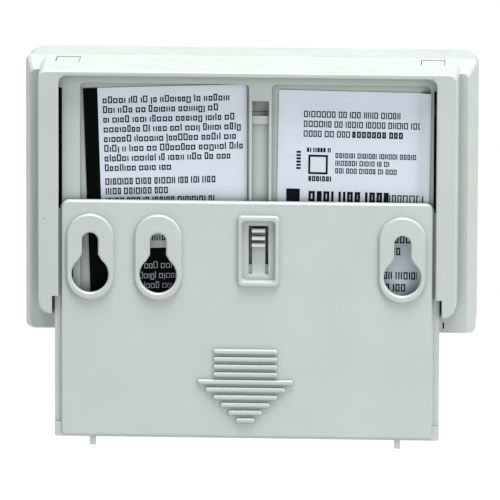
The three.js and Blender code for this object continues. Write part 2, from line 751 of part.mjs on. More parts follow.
function circuitBoard() {
  const shape = roundedRect(-BOARD_HALF_WIDTH, BOARD_HALF_WIDTH, -BOARD_HALF_HEIGHT, BOARD_HALF_HEIGHT, 2);
  const holes = Object.values(BOARD_SCREWS).map(([x, z]) => rod(x, z, 1.5, -30, -20, SMALL_STEPS));
  return cutBy(slab(shape, BOARD_FRONT_Y, BOARD_BACK_Y), holes);
}

function displayModule() {
  const { x, z, width, height } = WINDOW;
  const foot = BOARD_FRONT_Y - SEAT;
  const head = FRONT_Y + WALL + 0.3;
  const halfWidth = width / 2 + 2;
  const halfHeight = height / 2 + 1.5;
  return box([x - halfWidth, x + halfWidth], [head, foot], [z - halfHeight, z + halfHeight]);
}

// A round horn under the grille, open towards the slots, with the disc standing inside it.
function sounderChamber() {
  const foot = BOARD_FRONT_Y - SEAT;
  const head = FRONT_Y + WALL + 0.3;
  const ring = rod(GRILLE.x, GRILLE.z, HORN.radius, head, foot);
  return ring.subtract(rod(GRILLE.x, GRILLE.z, HORN.bore, head - 1, foot - HORN.floor));
}

function sounderDisc() {
  const back = BOARD_FRONT_Y - SEAT - HORN.floor - 0.2;
  const rim = HORN.bore - 0.4;
  return turned(GRILLE.x, GRILLE.z, [
    [0, back - 0.9],
    [8, back - 0.9],
    [8, back - 0.5],
    [rim, back - 0.5],
    [rim, back],
    [0, back],
  ]);
}

const BOARD_SEAT_Y = BOARD_BACK_Y + SEAT; // where the parts on the board's back start

function coSensor() {
  const { x, z, radius, height } = SENSOR;
  return turned(x, z, [
    [0, BOARD_SEAT_Y],
    [radius, BOARD_SEAT_Y],
    [radius, BOARD_SEAT_Y + height - 0.8],
    [radius - 0.8, BOARD_SEAT_Y + height],
    [0, BOARD_SEAT_Y + height],
  ]);
}

function sensorCap() {
  const { x, z, height } = SENSOR;
  const foot = BOARD_SEAT_Y + height + SEAT;
  const cap = turned(x, z, [
    [0, foot],
    [7, foot],
    [7, foot + 2],
    [6.2, foot + 2.6],
    [0, foot + 2.6],
  ]);
  const { count, circle, radius } = CAP_HOLES;
  const holes = Array.from({ length: count }, (_, i) => {
    const angle = (i / count) * 2 * Math.PI;
    return rod(x + circle * Math.cos(angle), z + circle * Math.sin(angle), radius, foot + 1, foot + 4, 8);
  });
  return cutBy(cap, holes);
}

function batteryCell() {
  const geometry = new THREE.LatheGeometry([
    new THREE.Vector2(0, CELL.left),
    new THREE.Vector2(CELL.radius - 0.5, CELL.left),
    new THREE.Vector2(CELL.radius, CELL.left + 0.5),
    new THREE.Vector2(CELL.radius, CELL.right - 1.8),
    new THREE.Vector2(CELL.radius - 0.8, CELL.right - 1),
    new THREE.Vector2(3, CELL.right - 1),
    new THREE.Vector2(3, CELL.right),
    new THREE.Vector2(0, CELL.right),
  ], ROUND_STEPS);
  return solid(geometry.rotateZ(-Math.PI / 2).translate(0, BOARD_SEAT_Y + CELL.lift, CELL.z));
}

// A strip of nickel from the end of the cell down to the board.
function batteryTab(x) {
  const half = TAB_THICKNESS / 2;
  const reach = BOARD_SEAT_Y + CELL.lift + 3;
  return box([x - half, x + half], [BOARD_SEAT_Y, reach], [CELL.z - 2.5, CELL.z + 2.5]);
}

function microcontroller() {
  return box(CHIP.x, [BOARD_SEAT_Y, BOARD_SEAT_Y + CHIP.height], CHIP.z);
}

function boostCoil() {
  const { x, z, radius, wound, height } = COIL;
  return turned(x, z, [
    [0, BOARD_SEAT_Y],
    [radius, BOARD_SEAT_Y],
    [radius, BOARD_SEAT_Y + 1],
    [wound, BOARD_SEAT_Y + 1.6],
    [wound, BOARD_SEAT_Y + height - 1.6],
    [radius, BOARD_SEAT_Y + height - 1],
    [radius, BOARD_SEAT_Y + height],
    [0, BOARD_SEAT_Y + height],
  ]);
}

function capacitor() {
  const { x, z, radius, height } = CAPACITOR;
  return turned(x, z, [
    [0, BOARD_SEAT_Y],
    [radius - 0.4, BOARD_SEAT_Y],
    [radius, BOARD_SEAT_Y + 0.5],
    [radius, BOARD_SEAT_Y + 1],
    [radius - 0.3, BOARD_SEAT_Y + 1.4],
    [radius, BOARD_SEAT_Y + 1.8],
    [radius, BOARD_SEAT_Y + height - 0.4],
    [radius - 0.5, BOARD_SEAT_Y + height],
    [0, BOARD_SEAT_Y + height],
  ]);
}

// A flat plastic body with a step along its upper side.
function driverTransistor() {
  const { x, z, height } = TRANSISTOR;
  const body = box(x, [BOARD_SEAT_Y, BOARD_SEAT_Y + height], z);
  const above = [BOARD_SEAT_Y + 1, BOARD_SEAT_Y + height + 1];
  const step = box([x[0] - 1, x[1] + 1], above, [z[1] - 0.7, z[1] + 1]);
  return body.subtract(step);
}

// A pan-head screw, driven towards -y. headY is where its head meets the piece that it holds.
function panScrew([x, z], headY, headRadius, shankRadius, length) {
  const head = turned(x, z, [
    [0, headY - length],
    [shankRadius * 0.5, headY - length],
    [shankRadius, headY - length + shankRadius],
    [shankRadius, headY + SEAT],
    [headRadius, headY + SEAT],
    [headRadius, headY + SEAT + 0.7],
    [headRadius * 0.7, headY + SEAT + 1.25],
    [0, headY + SEAT + 1.4],
  ], SMALL_STEPS);
  const slotTop = headY + SEAT + 2;
  const slotLow = headY + SEAT + 0.6;
  const arm = headRadius * 0.62;
  const across = box([x - arm, x + arm], [slotLow, slotTop], [z - 0.3, z + 0.3]);
  const down = box([x - 0.3, x + 0.3], [slotLow, slotTop], [z - arm, z + arm]);
  return cutBy(head, [across, down]);
}

// ---------- the assembly ----------

const alarm = new THREE.Group();

function add(name, body, slot, parent = alarm) {
  const material = new THREE.MeshStandardMaterial(MATERIALS[slot]);
  const mesh = new THREE.Mesh(geometryOf(body), material);
  mesh.name = name;
  parent.add(mesh);
  return mesh;
}

add('rear_housing', rearHousing(), 'case_plastic');
add('front_cover', frontCover(), 'case_plastic');
add('instruction_label', instructionLabel(), 'label_paper');
add('display_lens', displayLens(), 'dark_window');
add('display_module', displayModule(), 'black_plastic');
add('test_button', pressButton(TEST_BUTTON), 'button_plastic');
add('peak_button', pressButton(PEAK_BUTTON), 'button_plastic');
add('test_switch', tactSwitch(TEST_BUTTON), 'black_plastic');
add('peak_switch', tactSwitch(PEAK_BUTTON), 'black_plastic');
add('circuit_board', circuitBoard(), 'board_green');
add('sounder_chamber', sounderChamber(), 'black_plastic');
add('sounder_disc', sounderDisc(), 'brass');
add('co_sensor', coSensor(), 'grey_plastic');
add('sensor_cap', sensorCap(), 'steel');
add('battery_cell', batteryCell(), 'cell_wrap');
add('battery_tab_left', batteryTab(CELL.left - TAB_THICKNESS), 'steel');
add('battery_tab_right', batteryTab(CELL.right + TAB_THICKNESS), 'steel');
add('microcontroller', microcontroller(), 'black_plastic');
add('boost_coil', boostCoil(), 'copper');
add('capacitor', capacitor(), 'grey_plastic');
add('driver_transistor', driverTransistor(), 'black_plastic');

for (const { name, lens, z } of LEDS) {
  add(name, ledLamp(z), lens);
}
for (const [name, place] of Object.entries(CASE_SCREWS)) {
  add(name, panScrew(place, SHOULDER_Y - SCREW_HEAD_DEPTH, 2.1, 1.1, 14), 'steel');
}
for (const [name, place] of Object.entries(BOARD_SCREWS)) {
  add(name, panScrew(place, BOARD_BACK_Y, 2.1, 0.9, 7), 'steel');
}

// The right label is turned a little in its bay.
const turnedLabel = new THREE.Group();
turnedLabel.position.set(LABEL_MIDDLE.x, 0, LABEL_MIDDLE.z);
turnedLabel.rotation.y = THREE.MathUtils.degToRad(RATING_TURN);
alarm.add(turnedLabel);
add('rating_label', ratingLabel(), 'label_paper', turnedLabel);

// The plate and the latch in it move together along the rails.
const slider = new THREE.Group();
alarm.add(slider);
add('mounting_plate', mountingPlate(), 'plate_plastic', slider);
add('plate_latch', plateLatch(), 'plate_plastic', slider);

export default alarm;
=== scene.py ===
"""A wall-hung carbon monoxide alarm seen from behind, with its back plate half way down its rails.

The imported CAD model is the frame. Finer pieces stand for most of the parts that show, and every piece gets
a procedural material. Pieces are modelled in millimetres and then scaled to metres. +Y points to the wall,
+Z is up, and the camera looks at the back.
"""
import json
import math
import random

import bmesh
import bpy
from mathutils import Matrix, Vector


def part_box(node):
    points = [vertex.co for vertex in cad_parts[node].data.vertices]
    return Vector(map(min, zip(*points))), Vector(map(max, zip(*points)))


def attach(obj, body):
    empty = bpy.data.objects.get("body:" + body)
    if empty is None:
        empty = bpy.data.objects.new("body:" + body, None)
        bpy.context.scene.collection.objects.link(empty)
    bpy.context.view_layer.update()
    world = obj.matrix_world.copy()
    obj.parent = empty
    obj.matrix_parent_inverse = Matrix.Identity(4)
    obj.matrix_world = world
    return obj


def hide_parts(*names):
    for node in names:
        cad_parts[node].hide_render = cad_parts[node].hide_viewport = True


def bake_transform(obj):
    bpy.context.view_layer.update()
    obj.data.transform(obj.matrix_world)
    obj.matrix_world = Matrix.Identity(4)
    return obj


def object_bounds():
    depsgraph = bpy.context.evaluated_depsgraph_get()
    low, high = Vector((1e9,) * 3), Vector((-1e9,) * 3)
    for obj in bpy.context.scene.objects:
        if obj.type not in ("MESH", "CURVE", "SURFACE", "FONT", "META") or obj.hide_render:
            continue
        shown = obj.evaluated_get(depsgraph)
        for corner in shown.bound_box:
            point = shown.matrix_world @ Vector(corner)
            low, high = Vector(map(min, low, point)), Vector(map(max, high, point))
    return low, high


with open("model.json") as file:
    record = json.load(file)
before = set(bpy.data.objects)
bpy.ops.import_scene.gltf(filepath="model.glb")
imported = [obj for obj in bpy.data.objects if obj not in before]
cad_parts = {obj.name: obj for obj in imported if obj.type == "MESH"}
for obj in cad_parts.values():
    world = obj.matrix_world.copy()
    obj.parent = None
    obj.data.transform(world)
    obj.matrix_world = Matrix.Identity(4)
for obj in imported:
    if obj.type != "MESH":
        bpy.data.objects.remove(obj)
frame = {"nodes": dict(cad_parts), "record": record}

CAD_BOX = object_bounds()
MM = 0.001


def span(node):
    """The lowest and highest corner of a CAD node, in millimetres."""
    low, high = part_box(node)
    return low / MM, high / MM


# ---------- sizes, in millimetres ----------

# The case
COVER_LOW, COVER_HIGH = span("front_cover")
CASE_HALF_WIDTH = COVER_HIGH.x
CASE_HALF_HEIGHT = COVER_HIGH.z
FRONT_Y = COVER_LOW.y
SPLIT_Y = -19.5
SPLIT_GAP = 0.1
SHOULDER_Y = -10
SHOULDER = {"half_width": 55.45, "bottom": -33.6, "top": 32.85, "corner": 1.6}
WALL = 2
CASE_CORNER = 1.8
CAVITY_CORNER = 1
EDGE = 0.45
DRAFT = 0.5
BACK_TOP_SETBACK = 0.1

# The raised back and the recess in it
BACK = {"half_width": 52.6, "bottom": -28.2, "top": 33.65, "corner": 1.9, "bottom_corner": 3.3}
BELOW = BACK["bottom"] - 8
RECESS = {"half_width": 47.45, "bottom": BELOW, "top": 32.4, "corner": 2.1}
RECESS_MOUTH = ((0, -0.35), (0.15, -0.12), (0.27, -0.04), (0.35, 0), (0.45, 0.2))  # its flare: (outward, y)
FLOOR_Y = -3.1
FLOOR_THICKNESS = 2.6
GROOVE_WIDTH = 97.5
LIP_THICKNESS = 1.3
LIP_BOTTOM = -23.6
GROOVE_TOP = 30
NOTCH_WIDTH = 98.2
RAIL_SLOT_INNER = 46.7
RAIL_SLOTS = ((-2.5, 29), (-21, -6), (-27.4, -22.5))
MOULD_SLOT = ((43.95, 45.1), (-19.9, -16.3))
VENT_SLIT = ((-49.45, -49.05), (-32.5, -30.9))
BAY_DEPTH = 1.2
BAYS = ((-0.35, 42.2), (-45.8, -6.0))
BAY_Z = (-25.5, 30.3)
BAY_CORNER = 1.2
CHANNEL = (-5.3, -1.05)
CROSS_BAR = (20.2, 22.24)
CROSS_BAR_DROP = 0.6
POCKET_TOP = 26.04
POCKET_DEPTH = 2.4
POCKET_FOOT = ((0.9, 0), (0.5, 0.8), (0, 0.9))  # (height over its bed, rise over the bar) of its sloped foot
SNAP_WINDOW_X = (43.02, 49.08)
SNAP_WINDOW_Y = (-17.28, -11.32)
SNAP_WINDOW_Z = (BACK["top"] - WALL - 3, CASE_HALF_HEIGHT + 3)
RIM_PIP = (51.2, -4.0)
RIM_PIP_PROFILE = ((0.2, -0.12), (0.4, 0.1))
REAR_SCREW = {"column": 3, "hole": 1.6, "head": 2.35, "head_depth": 1.6}

# The back plate
PLATE_LOW, PLATE_HIGH = span("mounting_plate")
PLATE_HALF_WIDTH = 47
FLANGE_HALF_WIDTH = PLATE_HIGH.x
PLATE_TOP = PLATE_HIGH.z
PEG_LENGTH = 2.2
PLATE_BOTTOM = PLATE_LOW.z + PEG_LENGTH
PLATE_BACK_Y = PLATE_LOW.y
PLATE_FACE_Y = -0.8
PLATE_CORNER = 2.2
PLATE_FOOT_CORNER = 0.4
PLATE_BEVEL = 1.2
PLATE_EDGE = 0.7
FLANGE_Y = -1.6
FLANGE_TOP = -1.6
FLANGE_CORNER = 0.6
CORNER_BLOCK = {"y": -1.15, "top": -55.95, "corner": 0.3}
PEG_X = (38.85, -38.0)
PEG_Y = -1.3
PEG_WIDTH = 1.5

# Keyholes: their places come from the openings that the record states.
KEYHOLE_X = [sum(box["box_m"][i][0] for i in (0, 1)) / 2 / MM
             for box in frame["record"]["physics"]["openings"]]
HEAD_Z = -18
HEAD_RADIUS = 4.65
SLOT_WIDTH = 4.1
SLOT_TOP = -7.35
MOUTH_FLARE = 0.9
MOUTH_RISE = 1.5
PAD_WIDTH = 12.1
PAD_Z = (-24.5, -2.6)
PAD_EDGE = 0.65
PAD_WALL = 1
KEYHOLE_LIP = 1.3
KEYHOLE_CHAMFER = 0.35

# The latch
LATCH_X = -2.9
LATCH_FRAME = {"width": 10.6, "z": (-20.7, -2.6), "corner": 1.2, "edge": ((0, 0.6), (0.42, 0))}
WELL_FLOOR = {"y": -1.3, "width": 7.7, "z": (-19.1, -4.35), "corner": 0.8}
WELL_MOUTH = {"y": 0.15, "width": 8.9, "z": (-19.75, -3.65), "corner": 1.2}
TONGUE_SLOT = {"width": 5, "z": (-15.25, -5.3)}
ROOT_STEP = {"y": -1.9, "foot": -16.9, "end": -18.1}
ROOT_GROOVE = {"y": -2.15, "foot": -17.5, "end": -18, "width": 0.85}
TONGUE_WIDTH = 3.4
TONGUE_LAP = 0.4
TONGUE_SINK = 0.02
TONGUE_RAMP = (-12.6, -11.6)
TONGUE_TIP = (-1.1, -6.0)
TONGUE_VALLEY_Y = -2.05
TONGUE_CREST_Y = -0.4
TONGUE_RIBS = ((-10.5, -9.65), (-8.75, -7.9), (-6.85, -6.1))
RIB_SLOPE = 0.2
RIB_LEAN = 0.5
HOOK = {"y": -3.5, "z": (-7.6, -6.9)}

# The arrow on the plate
ARROW_X = 0.3
ARROW_TOP = -37.35
ARROW_PITCH = 1.95
ARROW_RIB = 1.25
ARROW_HEIGHT = 0.75
ARROW_ROUND = 0.5
ARROW_WIDTHS = (16.3, 16.3, 16.3, 16.3, 24.3, 20.3, 16.4, 12.6, 8.7, 4.9)

# The front cover
COVER_CORNER = CASE_CORNER + 0.6
COVER_WALL_Y = -30
FACE_CORNER = 4
FACE_ROUND = 3
FACE_ROUND_INSIDE = 1
SNAP_TAB_X = (43.2, 48.9)
SNAP_TAB = ((-22.5, 31.2), (-11.5, 31.2), (-11.5, 34.35), (-17.1, 34.8), (-17.1, 32.1), (-20.0, 32.1),
            (-20.0, 34.4), (-22.5, 34.4))  # its (y, z) profile
WINDOW = {"x": 14, "z": 10, "width": 40, "height": 18}
WINDOW_CORNER = 2
BEZEL = {"width": 1.6, "proud": 0.45, "corner": 3.2, "round": 0.4}
BUTTON_CORNER = 2
BUTTON_GAP = 0.35
GRILLE = {"x": -34, "z": 0, "radius": 15, "slot": 1.7, "pitch": 3.6, "count": 7}
POST_RADIUS = 2.5
CASE_SCREW_BORE = {"radius": 1.25, "end_y": -31}
BOARD_SCREW_BORE = {"radius": 1.05, "end_y": -34.5}
BOARD_GAP = 0.15

# The front's small parts. The y of a cap's edge and flange is measured from the inside of the cover's face,
# and the y of a digit from the display's face.
CAP_EDGE_Y = 0.6
CAP_ROUND = 0.5
CAP_FLANGE = 1
CAP_FLANGE_Y = (0.15, 1.15)
CAP_STEM = 2
DISH_MOUTH = {"inset": 1.5, "corner": 1.2}
DISH_BED = {"inset": 2.4, "corner": 0.8, "depth": 0.22}
LENS = {"corner": 1.8, "round": 0.3}
DIGIT = {"width": 5.2, "half_height": 5, "pitch": 9.5, "bar": 1, "gap": 0.25, "y": (-0.12, 0.1)}
LED_X = 46
LED_Z = {"led_red": 16, "led_amber": 8, "led_green": 0}
LED_HOLE = 1.75
LED = {"radius": 1.5, "flange": 0.4, "flange_height": 1, "tip": 0.05}
CASE_SCREWS = ("case_screw_left", "case_screw_right")
SCREW_TIP = ((0.1, 0), (0.66, 0.5))  # (radius, y) from its point
THREAD = {"margin": 1.2, "pitch": 0.8, "ridge": ((0.88, 0), (1.1, 0.25), (0.88, 0.5))}
SCREW_HEAD = ((1.1, -1.4), (2.1, -1.4), (2.1, -0.75), (1.95, -0.45), (1.512, -0.12), (0.3, 0))
SCREW_CROSS = {"length": 2.604, "width": 0.6, "depth": 0.8}

# The labels
PAPER = 0.15
PAPER_Y = FLOOR_Y - BAY_DEPTH + 0.05
COCKLE = 0.03
CLIMB = {"start": -42.9, "width": 2.2}
INK = 0.03
INK_GAP = 0.01

# Soft edges, and how far cutters reach
SOFT_EDGE = {"rear": 0.26, "cover": 0.22, "plate": 0.2, "tongue": 0.12, "cap": 0.15, "display": 0.3}
CAD_SOFT_EDGE = 0.12
SHARP_ANGLE = math.radians(32)
CAD_SHARP_ANGLE = math.radians(40)
OVERRUN = 1  # how far a cutter runs past what it cuts, and an added piece into what it joins
SHORT_OVERRUN = 0.5
OVERLAP = 0.1  # how far cutters that meet run into each other
ARC_GAP = 0.01  # keeps the two arcs of a round end apart

# ---------- mesh helpers ----------

WORKBENCH = bpy.data.collections.new("workbench")
bpy.context.scene.collection.children.link(WORKBENCH)


def outline(corners, steps=8):
    """The points of a closed polygon of (x, z, radius) corners, with each corner rounded to its radius."""
    points = []
    for i, (x, z, radius) in enumerate(corners):
        here = Vector((x, z))
        if radius <= 0:
            points.append(here)
            continue
        to_last = (Vector(corners[i - 1][:2]) - here).normalized()
        to_next = (Vector(corners[(i + 1) % len(corners)][:2]) - here).normalized()
        half = to_last.angle(to_next) / 2
        centre = here + (to_last + to_next).normalized() * radius / math.sin(half)
        start = here + to_last * radius / math.tan(half) - centre
        end = here + to_next * radius / math.tan(half) - centre
        first = math.atan2(start.y, start.x)
        turn = math.remainder(math.atan2(end.y, end.x) - first, 2 * math.pi)
        for step in range(steps + 1):
            angle = first + turn * step / steps
            points.append(centre + radius * Vector((math.cos(angle), math.sin(angle))))
    return points


def rectangle(x, z, radius=0.0, bottom_radius=None, steps=8):
    """A rectangle from x[0] to x[1] and z[0] to z[1], with round corners."""
    low = radius if bottom_radius is None else bottom_radius
    corners = [(x[0], z[0], low), (x[1], z[0], low), (x[1], z[1], radius), (x[0], z[1], radius)]
    return outline(corners, steps)


def from_bmesh(body):
    """Turns a bmesh into an object on the workbench, with its faces pointing out."""
    bmesh.ops.recalc_face_normals(body, faces=body.faces)
    mesh = bpy.data.meshes.new("solid")
    body.to_mesh(mesh)
    body.free()
    obj = bpy.data.objects.new("solid", mesh)
    WORKBENCH.objects.link(obj)
    return obj


def solid(rings):
    """A closed body through rings of 3-D points. The first and last rings are its flat ends."""
    body = bmesh.new()
    levels = [[body.verts.new(point) for point in ring] for ring in rings]
    for lower, upper in zip(levels, levels[1:]):
        for i in range(len(lower)):
            body.faces.new((lower[i - 1], lower[i], upper[i], upper[i - 1]))
    body.faces.new(levels[0])
    body.faces.new(levels[-1])
    bmesh.ops.remove_doubles(body, verts=body.verts, dist=1e-5)
    return from_bmesh(body)


def at_y(points, y):
    return [(x, y, z) for x, z in points]


def prism(points, low, high):
    return solid([at_y(points, low), at_y(points, high)])


def block(x, y, z):
    return prism(rectangle(x, z), y[0], y[1])


def arc(x, z, radius, start, turn, steps):
    """Points along an arc about (x, z), with both its ends. Its angles are in radians."""
    angles = [start + turn * i / steps for i in range(steps + 1)]
    return [(x + radius * math.cos(a), z + radius * math.sin(a)) for a in angles]


def circle(x, z, radius, steps):
    return arc(x, z, radius, 0, 2 * math.pi, steps)[:-1]


def cylinder(x, z, radius, low, high, steps=40):
    return prism(circle(x, z, radius, steps), low, high)


def lathe(x, z, profile, steps=48):
    """A body turned about an axis along y. The profile is (radius, y), and both ends are flat."""
    return solid([at_y(circle(x, z, radius, steps), y) for radius, y in profile])


def bar(profile, x):
    """A closed (y, z) profile run along x."""
    return solid([[(x[0], y, z) for y, z in profile], [(x[1], y, z) for y, z in profile]])


def quarter(radius, steps=5):
    """(inset, drop) pairs of a quarter round, from its wall to its top."""
    angles = [math.pi / 2 * i / steps for i in range(steps + 1)]
    return [(radius * (1 - math.cos(a)), radius * (1 - math.sin(a))) for a in angles]


def slope(width):
    """(inset, drop) pairs of a steep bevel, from its wall to its top."""
    return [(0, width), (0.7 * width, 0)]


def cushion(x, z, corner, low, high, edge, steps=8):
    """A slab whose face at y = high has an edge of (inset, drop) pairs, such as quarter(1) or slope(1)."""
    rings = [at_y(rectangle(x, z, corner, steps=steps), low)]
    toward = math.copysign(1, high - low)
    for inset, drop in edge:
        inner_x = (x[0] + inset, x[1] - inset)
        inner_z = (z[0] + inset, z[1] - inset)
        points = rectangle(inner_x, inner_z, corner - inset, steps=steps)
        rings.append(at_y(points, high - toward * drop))
    return solid(rings)


def section(y, half_width, bottom, top, corner, bottom_corner=None):
    return at_y(rectangle((-half_width, half_width), (bottom, top), corner, bottom_corner), y)


def inset_section(y, sizes, inset):
    """A section of the given sizes, drawn in by inset all round. Its corners stay a little round."""
    least = 0.3
    corner = max(sizes["corner"] - inset / 2, least)
    low_corner = max(sizes.get("bottom_corner", sizes["corner"]) - inset / 2, least)
    half_width = sizes["half_width"] - inset
    return section(y, half_width, sizes["bottom"] + inset, sizes["top"] - inset, corner, low_corner)


def centred(middle, width):
    return (middle - width / 2, middle + width / 2)


def both_sides(edges):
    """A pair of x limits, and its mirror image."""
    return [tuple(sorted(side * x for x in edges)) for side in (-1, 1)]


def apply_modifiers(obj):
    bpy.context.view_layer.update()
    final = bpy.data.meshes.new_from_object(obj.evaluated_get(bpy.context.evaluated_depsgraph_get()))
    obj.modifiers.clear()
    obj.data = final


def combine(obj, others, operation):
    """Joins others to obj, or cuts them from it, and removes them."""
    operands = bpy.data.collections.new("operands")
    bpy.context.scene.collection.children.link(operands)
    for other in others:
        operands.objects.link(other)
    modifier = obj.modifiers.new("combine", "BOOLEAN")
    modifier.operation = operation
    modifier.solver = "EXACT"
    modifier.operand_type = "COLLECTION"
    modifier.collection = operands
    apply_modifiers(obj)
    for other in others:
        bpy.data.objects.remove(other)
    bpy.data.collections.remove(operands)
    return obj


def join(obj, *others):
    return combine(obj, others, "UNION")


def cut(obj, *others):
    return combine(obj, others, "DIFFERENCE")


def ease(obj, width, segments=3):
    """Rounds the sharp edges by width."""
    body = bmesh.new()
    body.from_mesh(obj.data)
    bmesh.ops.remove_doubles(body, verts=body.verts, dist=1e-4)
    bmesh.ops.triangulate(body, faces=body.faces)
    body.to_mesh(obj.data)
    body.free()
    bevel = obj.modifiers.new("ease", "BEVEL")
    bevel.width = width
    bevel.segments = segments
    bevel.limit_method = "ANGLE"
    bevel.angle_limit = SHARP_ANGLE
    bevel.use_clamp_overlap = True
    bevel.miter_outer = "MITER_ARC"
    apply_modifiers(obj)
    return obj


def dress(obj, finish):
    """Gives an object its material, and smooth shading between its sharp edges."""
    obj.data.materials.clear()
    obj.data.materials.append(MATERIALS[finish])
    obj.data.shade_smooth()
    obj.data.set_sharp_from_angle(angle=SHARP_ANGLE)


def place(obj, name, finish, body, *nodes):
    """Names a piece, takes it to metres, dresses it, and hands it to its body in place of CAD nodes."""
    obj.name = name
    obj.data.name = name
    obj.data.transform(Matrix.Scale(MM, 4))
    dress(obj, finish)
    obj.modifiers.new("normals", "WEIGHTED_NORMAL").keep_sharp = True
    WORKBENCH.objects.unlink(obj)
    bpy.context.scene.collection.objects.link(obj)
    if body:
        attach(obj, body)
    if nodes:
        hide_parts(*nodes)
    return obj


# ---------- materials ----------


class Nodes:
    """A short way to build one material's nodes."""

    def __init__(self, name):
        self.material = bpy.data.materials.new(name)
        self.material.use_nodes = True
        self.tree = self.material.node_tree
        self.shader = self.tree.nodes["Principled BSDF"]
        self.point = self.add("ShaderNodeTexCoord").outputs["Object"]

    def add(self, kind, inputs=None, **settings):
        """A new node with the given input values and settings."""
        node = self.tree.nodes.new(kind)
        for key, value in settings.items():
            setattr(node, key, value)
        for key, value in (inputs or {}).items():
            node.inputs[key].default_value = value
        return node

    def link(self, source, target):
        self.tree.links.new(source, target)

    def noise(self, per_metre, detail=3.0, stretch=None):
        """Noise with that many features to the metre. stretch scales its x, y and z."""
        node = self.add("ShaderNodeTexNoise", {"Scale": per_metre, "Detail": detail, "Roughness": 0.55})
        point = self.point
        if stretch:
            mapping = self.add("ShaderNodeMapping", {"Scale": stretch})
            self.link(point, mapping.inputs["Vector"])
            point = mapping.outputs["Vector"]
        self.link(point, node.inputs["Vector"])
        return node.outputs["Fac"]

    def ranged(self, source, low, high, start=0.3, end=0.7):
        """source, taken from start..end to low..high."""
        limits = {"From Min": start, "From Max": end, "To Min": low, "To Max": high}
        node = self.add("ShaderNodeMapRange", limits)
        self.link(source, node.inputs["Value"])
        return node.outputs["Result"]

    def patches(self, per_metre, detail, low, high, stretch=None):
        """Soft patches that run from low to high."""
        return self.ranged(self.noise(per_metre, detail, stretch), low, high)

    def mixed(self, factor, first, second):
        """Mixes two colours. Each is a socket or a colour."""
        node = self.add("ShaderNodeMix", data_type="RGBA")
        for socket, value in zip((0, 6, 7), (factor, first, second)):
            if isinstance(value, bpy.types.NodeSocket):
                self.link(value, node.inputs[socket])
            else:
                node.inputs[socket].default_value = value
        return node.outputs[2]

    def openness(self, reach):
        """0 deep in a corner and 1 on open ground. reach is in metres."""
        return self.add("ShaderNodeAmbientOcclusion", {"Distance": reach}, samples=6).outputs["AO"]

    def crevice(self, reach, low, high):
        """Goes from low to high as a point comes out of a corner."""
        return self.ranged(self.openness(reach), low, high, 0.0, 1.0)

    def painted_shade(self, base, colour, share=0.66, reach=0.0042):
        """Painted shade: the colour darkened to grey under steps and lips, and to near black in deep gaps, by
        ambient occlusion.
        """
        open_ground = self.openness(reach)
        step = self.ranged(open_ground, 1.0, 0.0, 0.42, 0.93)
        base = self.mixed(step, base, shaded(colour, share))
        deep = self.ranged(open_ground, 1.0, 0.0, 0.06, 0.38)
        return self.mixed(deep, base, shaded(colour, 0.06))

    def bump(self, height, depth, strength=1.0, under=None):
        """Relief of that depth, in metres, over the relief under it."""
        node = self.add("ShaderNodeBump", {"Strength": strength, "Distance": depth})
        self.link(height, node.inputs["Height"])
        if under:
            self.link(under, node.inputs["Normal"])
        return node.outputs["Normal"]

    def finish(self, colour, roughness, normal=None, **settings):
        self.link(colour, self.shader.inputs["Base Color"])
        self.link(roughness, self.shader.inputs["Roughness"])
        if normal:
            self.link(normal, self.shader.inputs["Normal"])
        for key, value in settings.items():
            self.shader.inputs[key.replace("_", " ")].default_value = value
        return self.material


def srgb(red, green, blue):
    """A screen colour from 0 to 255 as linear light, with alpha 1."""
    def linear(value):
        value /= 255
        return value / 12.92 if value <= 0.04045 else ((value + 0.055) / 1.055) ** 2.4
    return (linear(red), linear(green), linear(blue), 1.0)


def shaded(colour, share):
    """A colour at a share of its brightness."""
    return (colour[0] * share, colour[1] * share, colour[2] * share, 1.0)


def moulded_plastic(name, colour, roughness=(0.34, 0.46), grain=3800, relief=0.000012, dust_and_shade_tone=0.68):
    """Textured moulded plastic: soft mottling, faint streaks, a fine grain, dust with painted shade in its
    corners, and painted shade under steps and lips.
    """
    nodes = Nodes(name)
    mottle = nodes.patches(55, 4, 0.0, 1.0)
    base = nodes.mixed(mottle, shaded(colour, 0.965), shaded(colour, 1.02))
    specks = nodes.ranged(nodes.noise(1400, 2), 0.0, 0.05, 0.55, 0.8)
    base = nodes.mixed(specks, base, shaded(colour, 0.6))
    streaks = nodes.patches(160, 3, 0.0, 0.05, (0.4, 1.0, 3.0))
    base = nodes.mixed(streaks, base, shaded(colour, 0.8))
    # Dust with painted shade: corners within 1.6 mm darken to a warm grey.
    dust_and_shade = (colour[0] * dust_and_shade_tone * 1.02, colour[1] * dust_and_shade_tone, colour[2] * dust_and_shade_tone * 0.95, 1.0)
    corner = nodes.crevice(0.0016, 1.0, 0.0)
    base = nodes.mixed(corner, base, dust_and_shade)
    # Painted shade under steps and lips, and near black in deep gaps.
    base = nodes.painted_shade(base, colour)
    fine = nodes.noise(grain, 2)
    wave = nodes.noise(45, 2)
    normal = nodes.bump(wave, 0.00025, 0.35)
    normal = nodes.bump(fine, relief, 1.0, normal)
    gloss = nodes.patches(240, 4, *roughness)
    return nodes.finish(base, gloss, normal)


def paper(name, colour):
    """Coated label paper, with fibres, slight cockling, and painted shade under steps and lips."""
    nodes = Nodes(name)
    tone = nodes.patches(70, 4, 0.0, 1.0)
    base = nodes.mixed(tone, shaded(colour, 0.97), shaded(colour, 1.015))
    fibres = nodes.patches(1800, 4, 0.0, 0.06, (0.35, 1.0, 1.6))
    base = nodes.mixed(fibres, base, shaded(colour, 0.8))
    # Painted shade: darker under steps and lips, near black in deep gaps.
    base = nodes.painted_shade(base, colour, 0.7)
    normal = nodes.bump(nodes.noise(60, 2), 0.0003, 0.4)
    normal = nodes.bump(nodes.noise(2600, 3), 0.000008, 1.0, normal)
    gloss = nodes.patches(300, 3, 0.32, 0.48)
    return nodes.finish(base, gloss, normal)


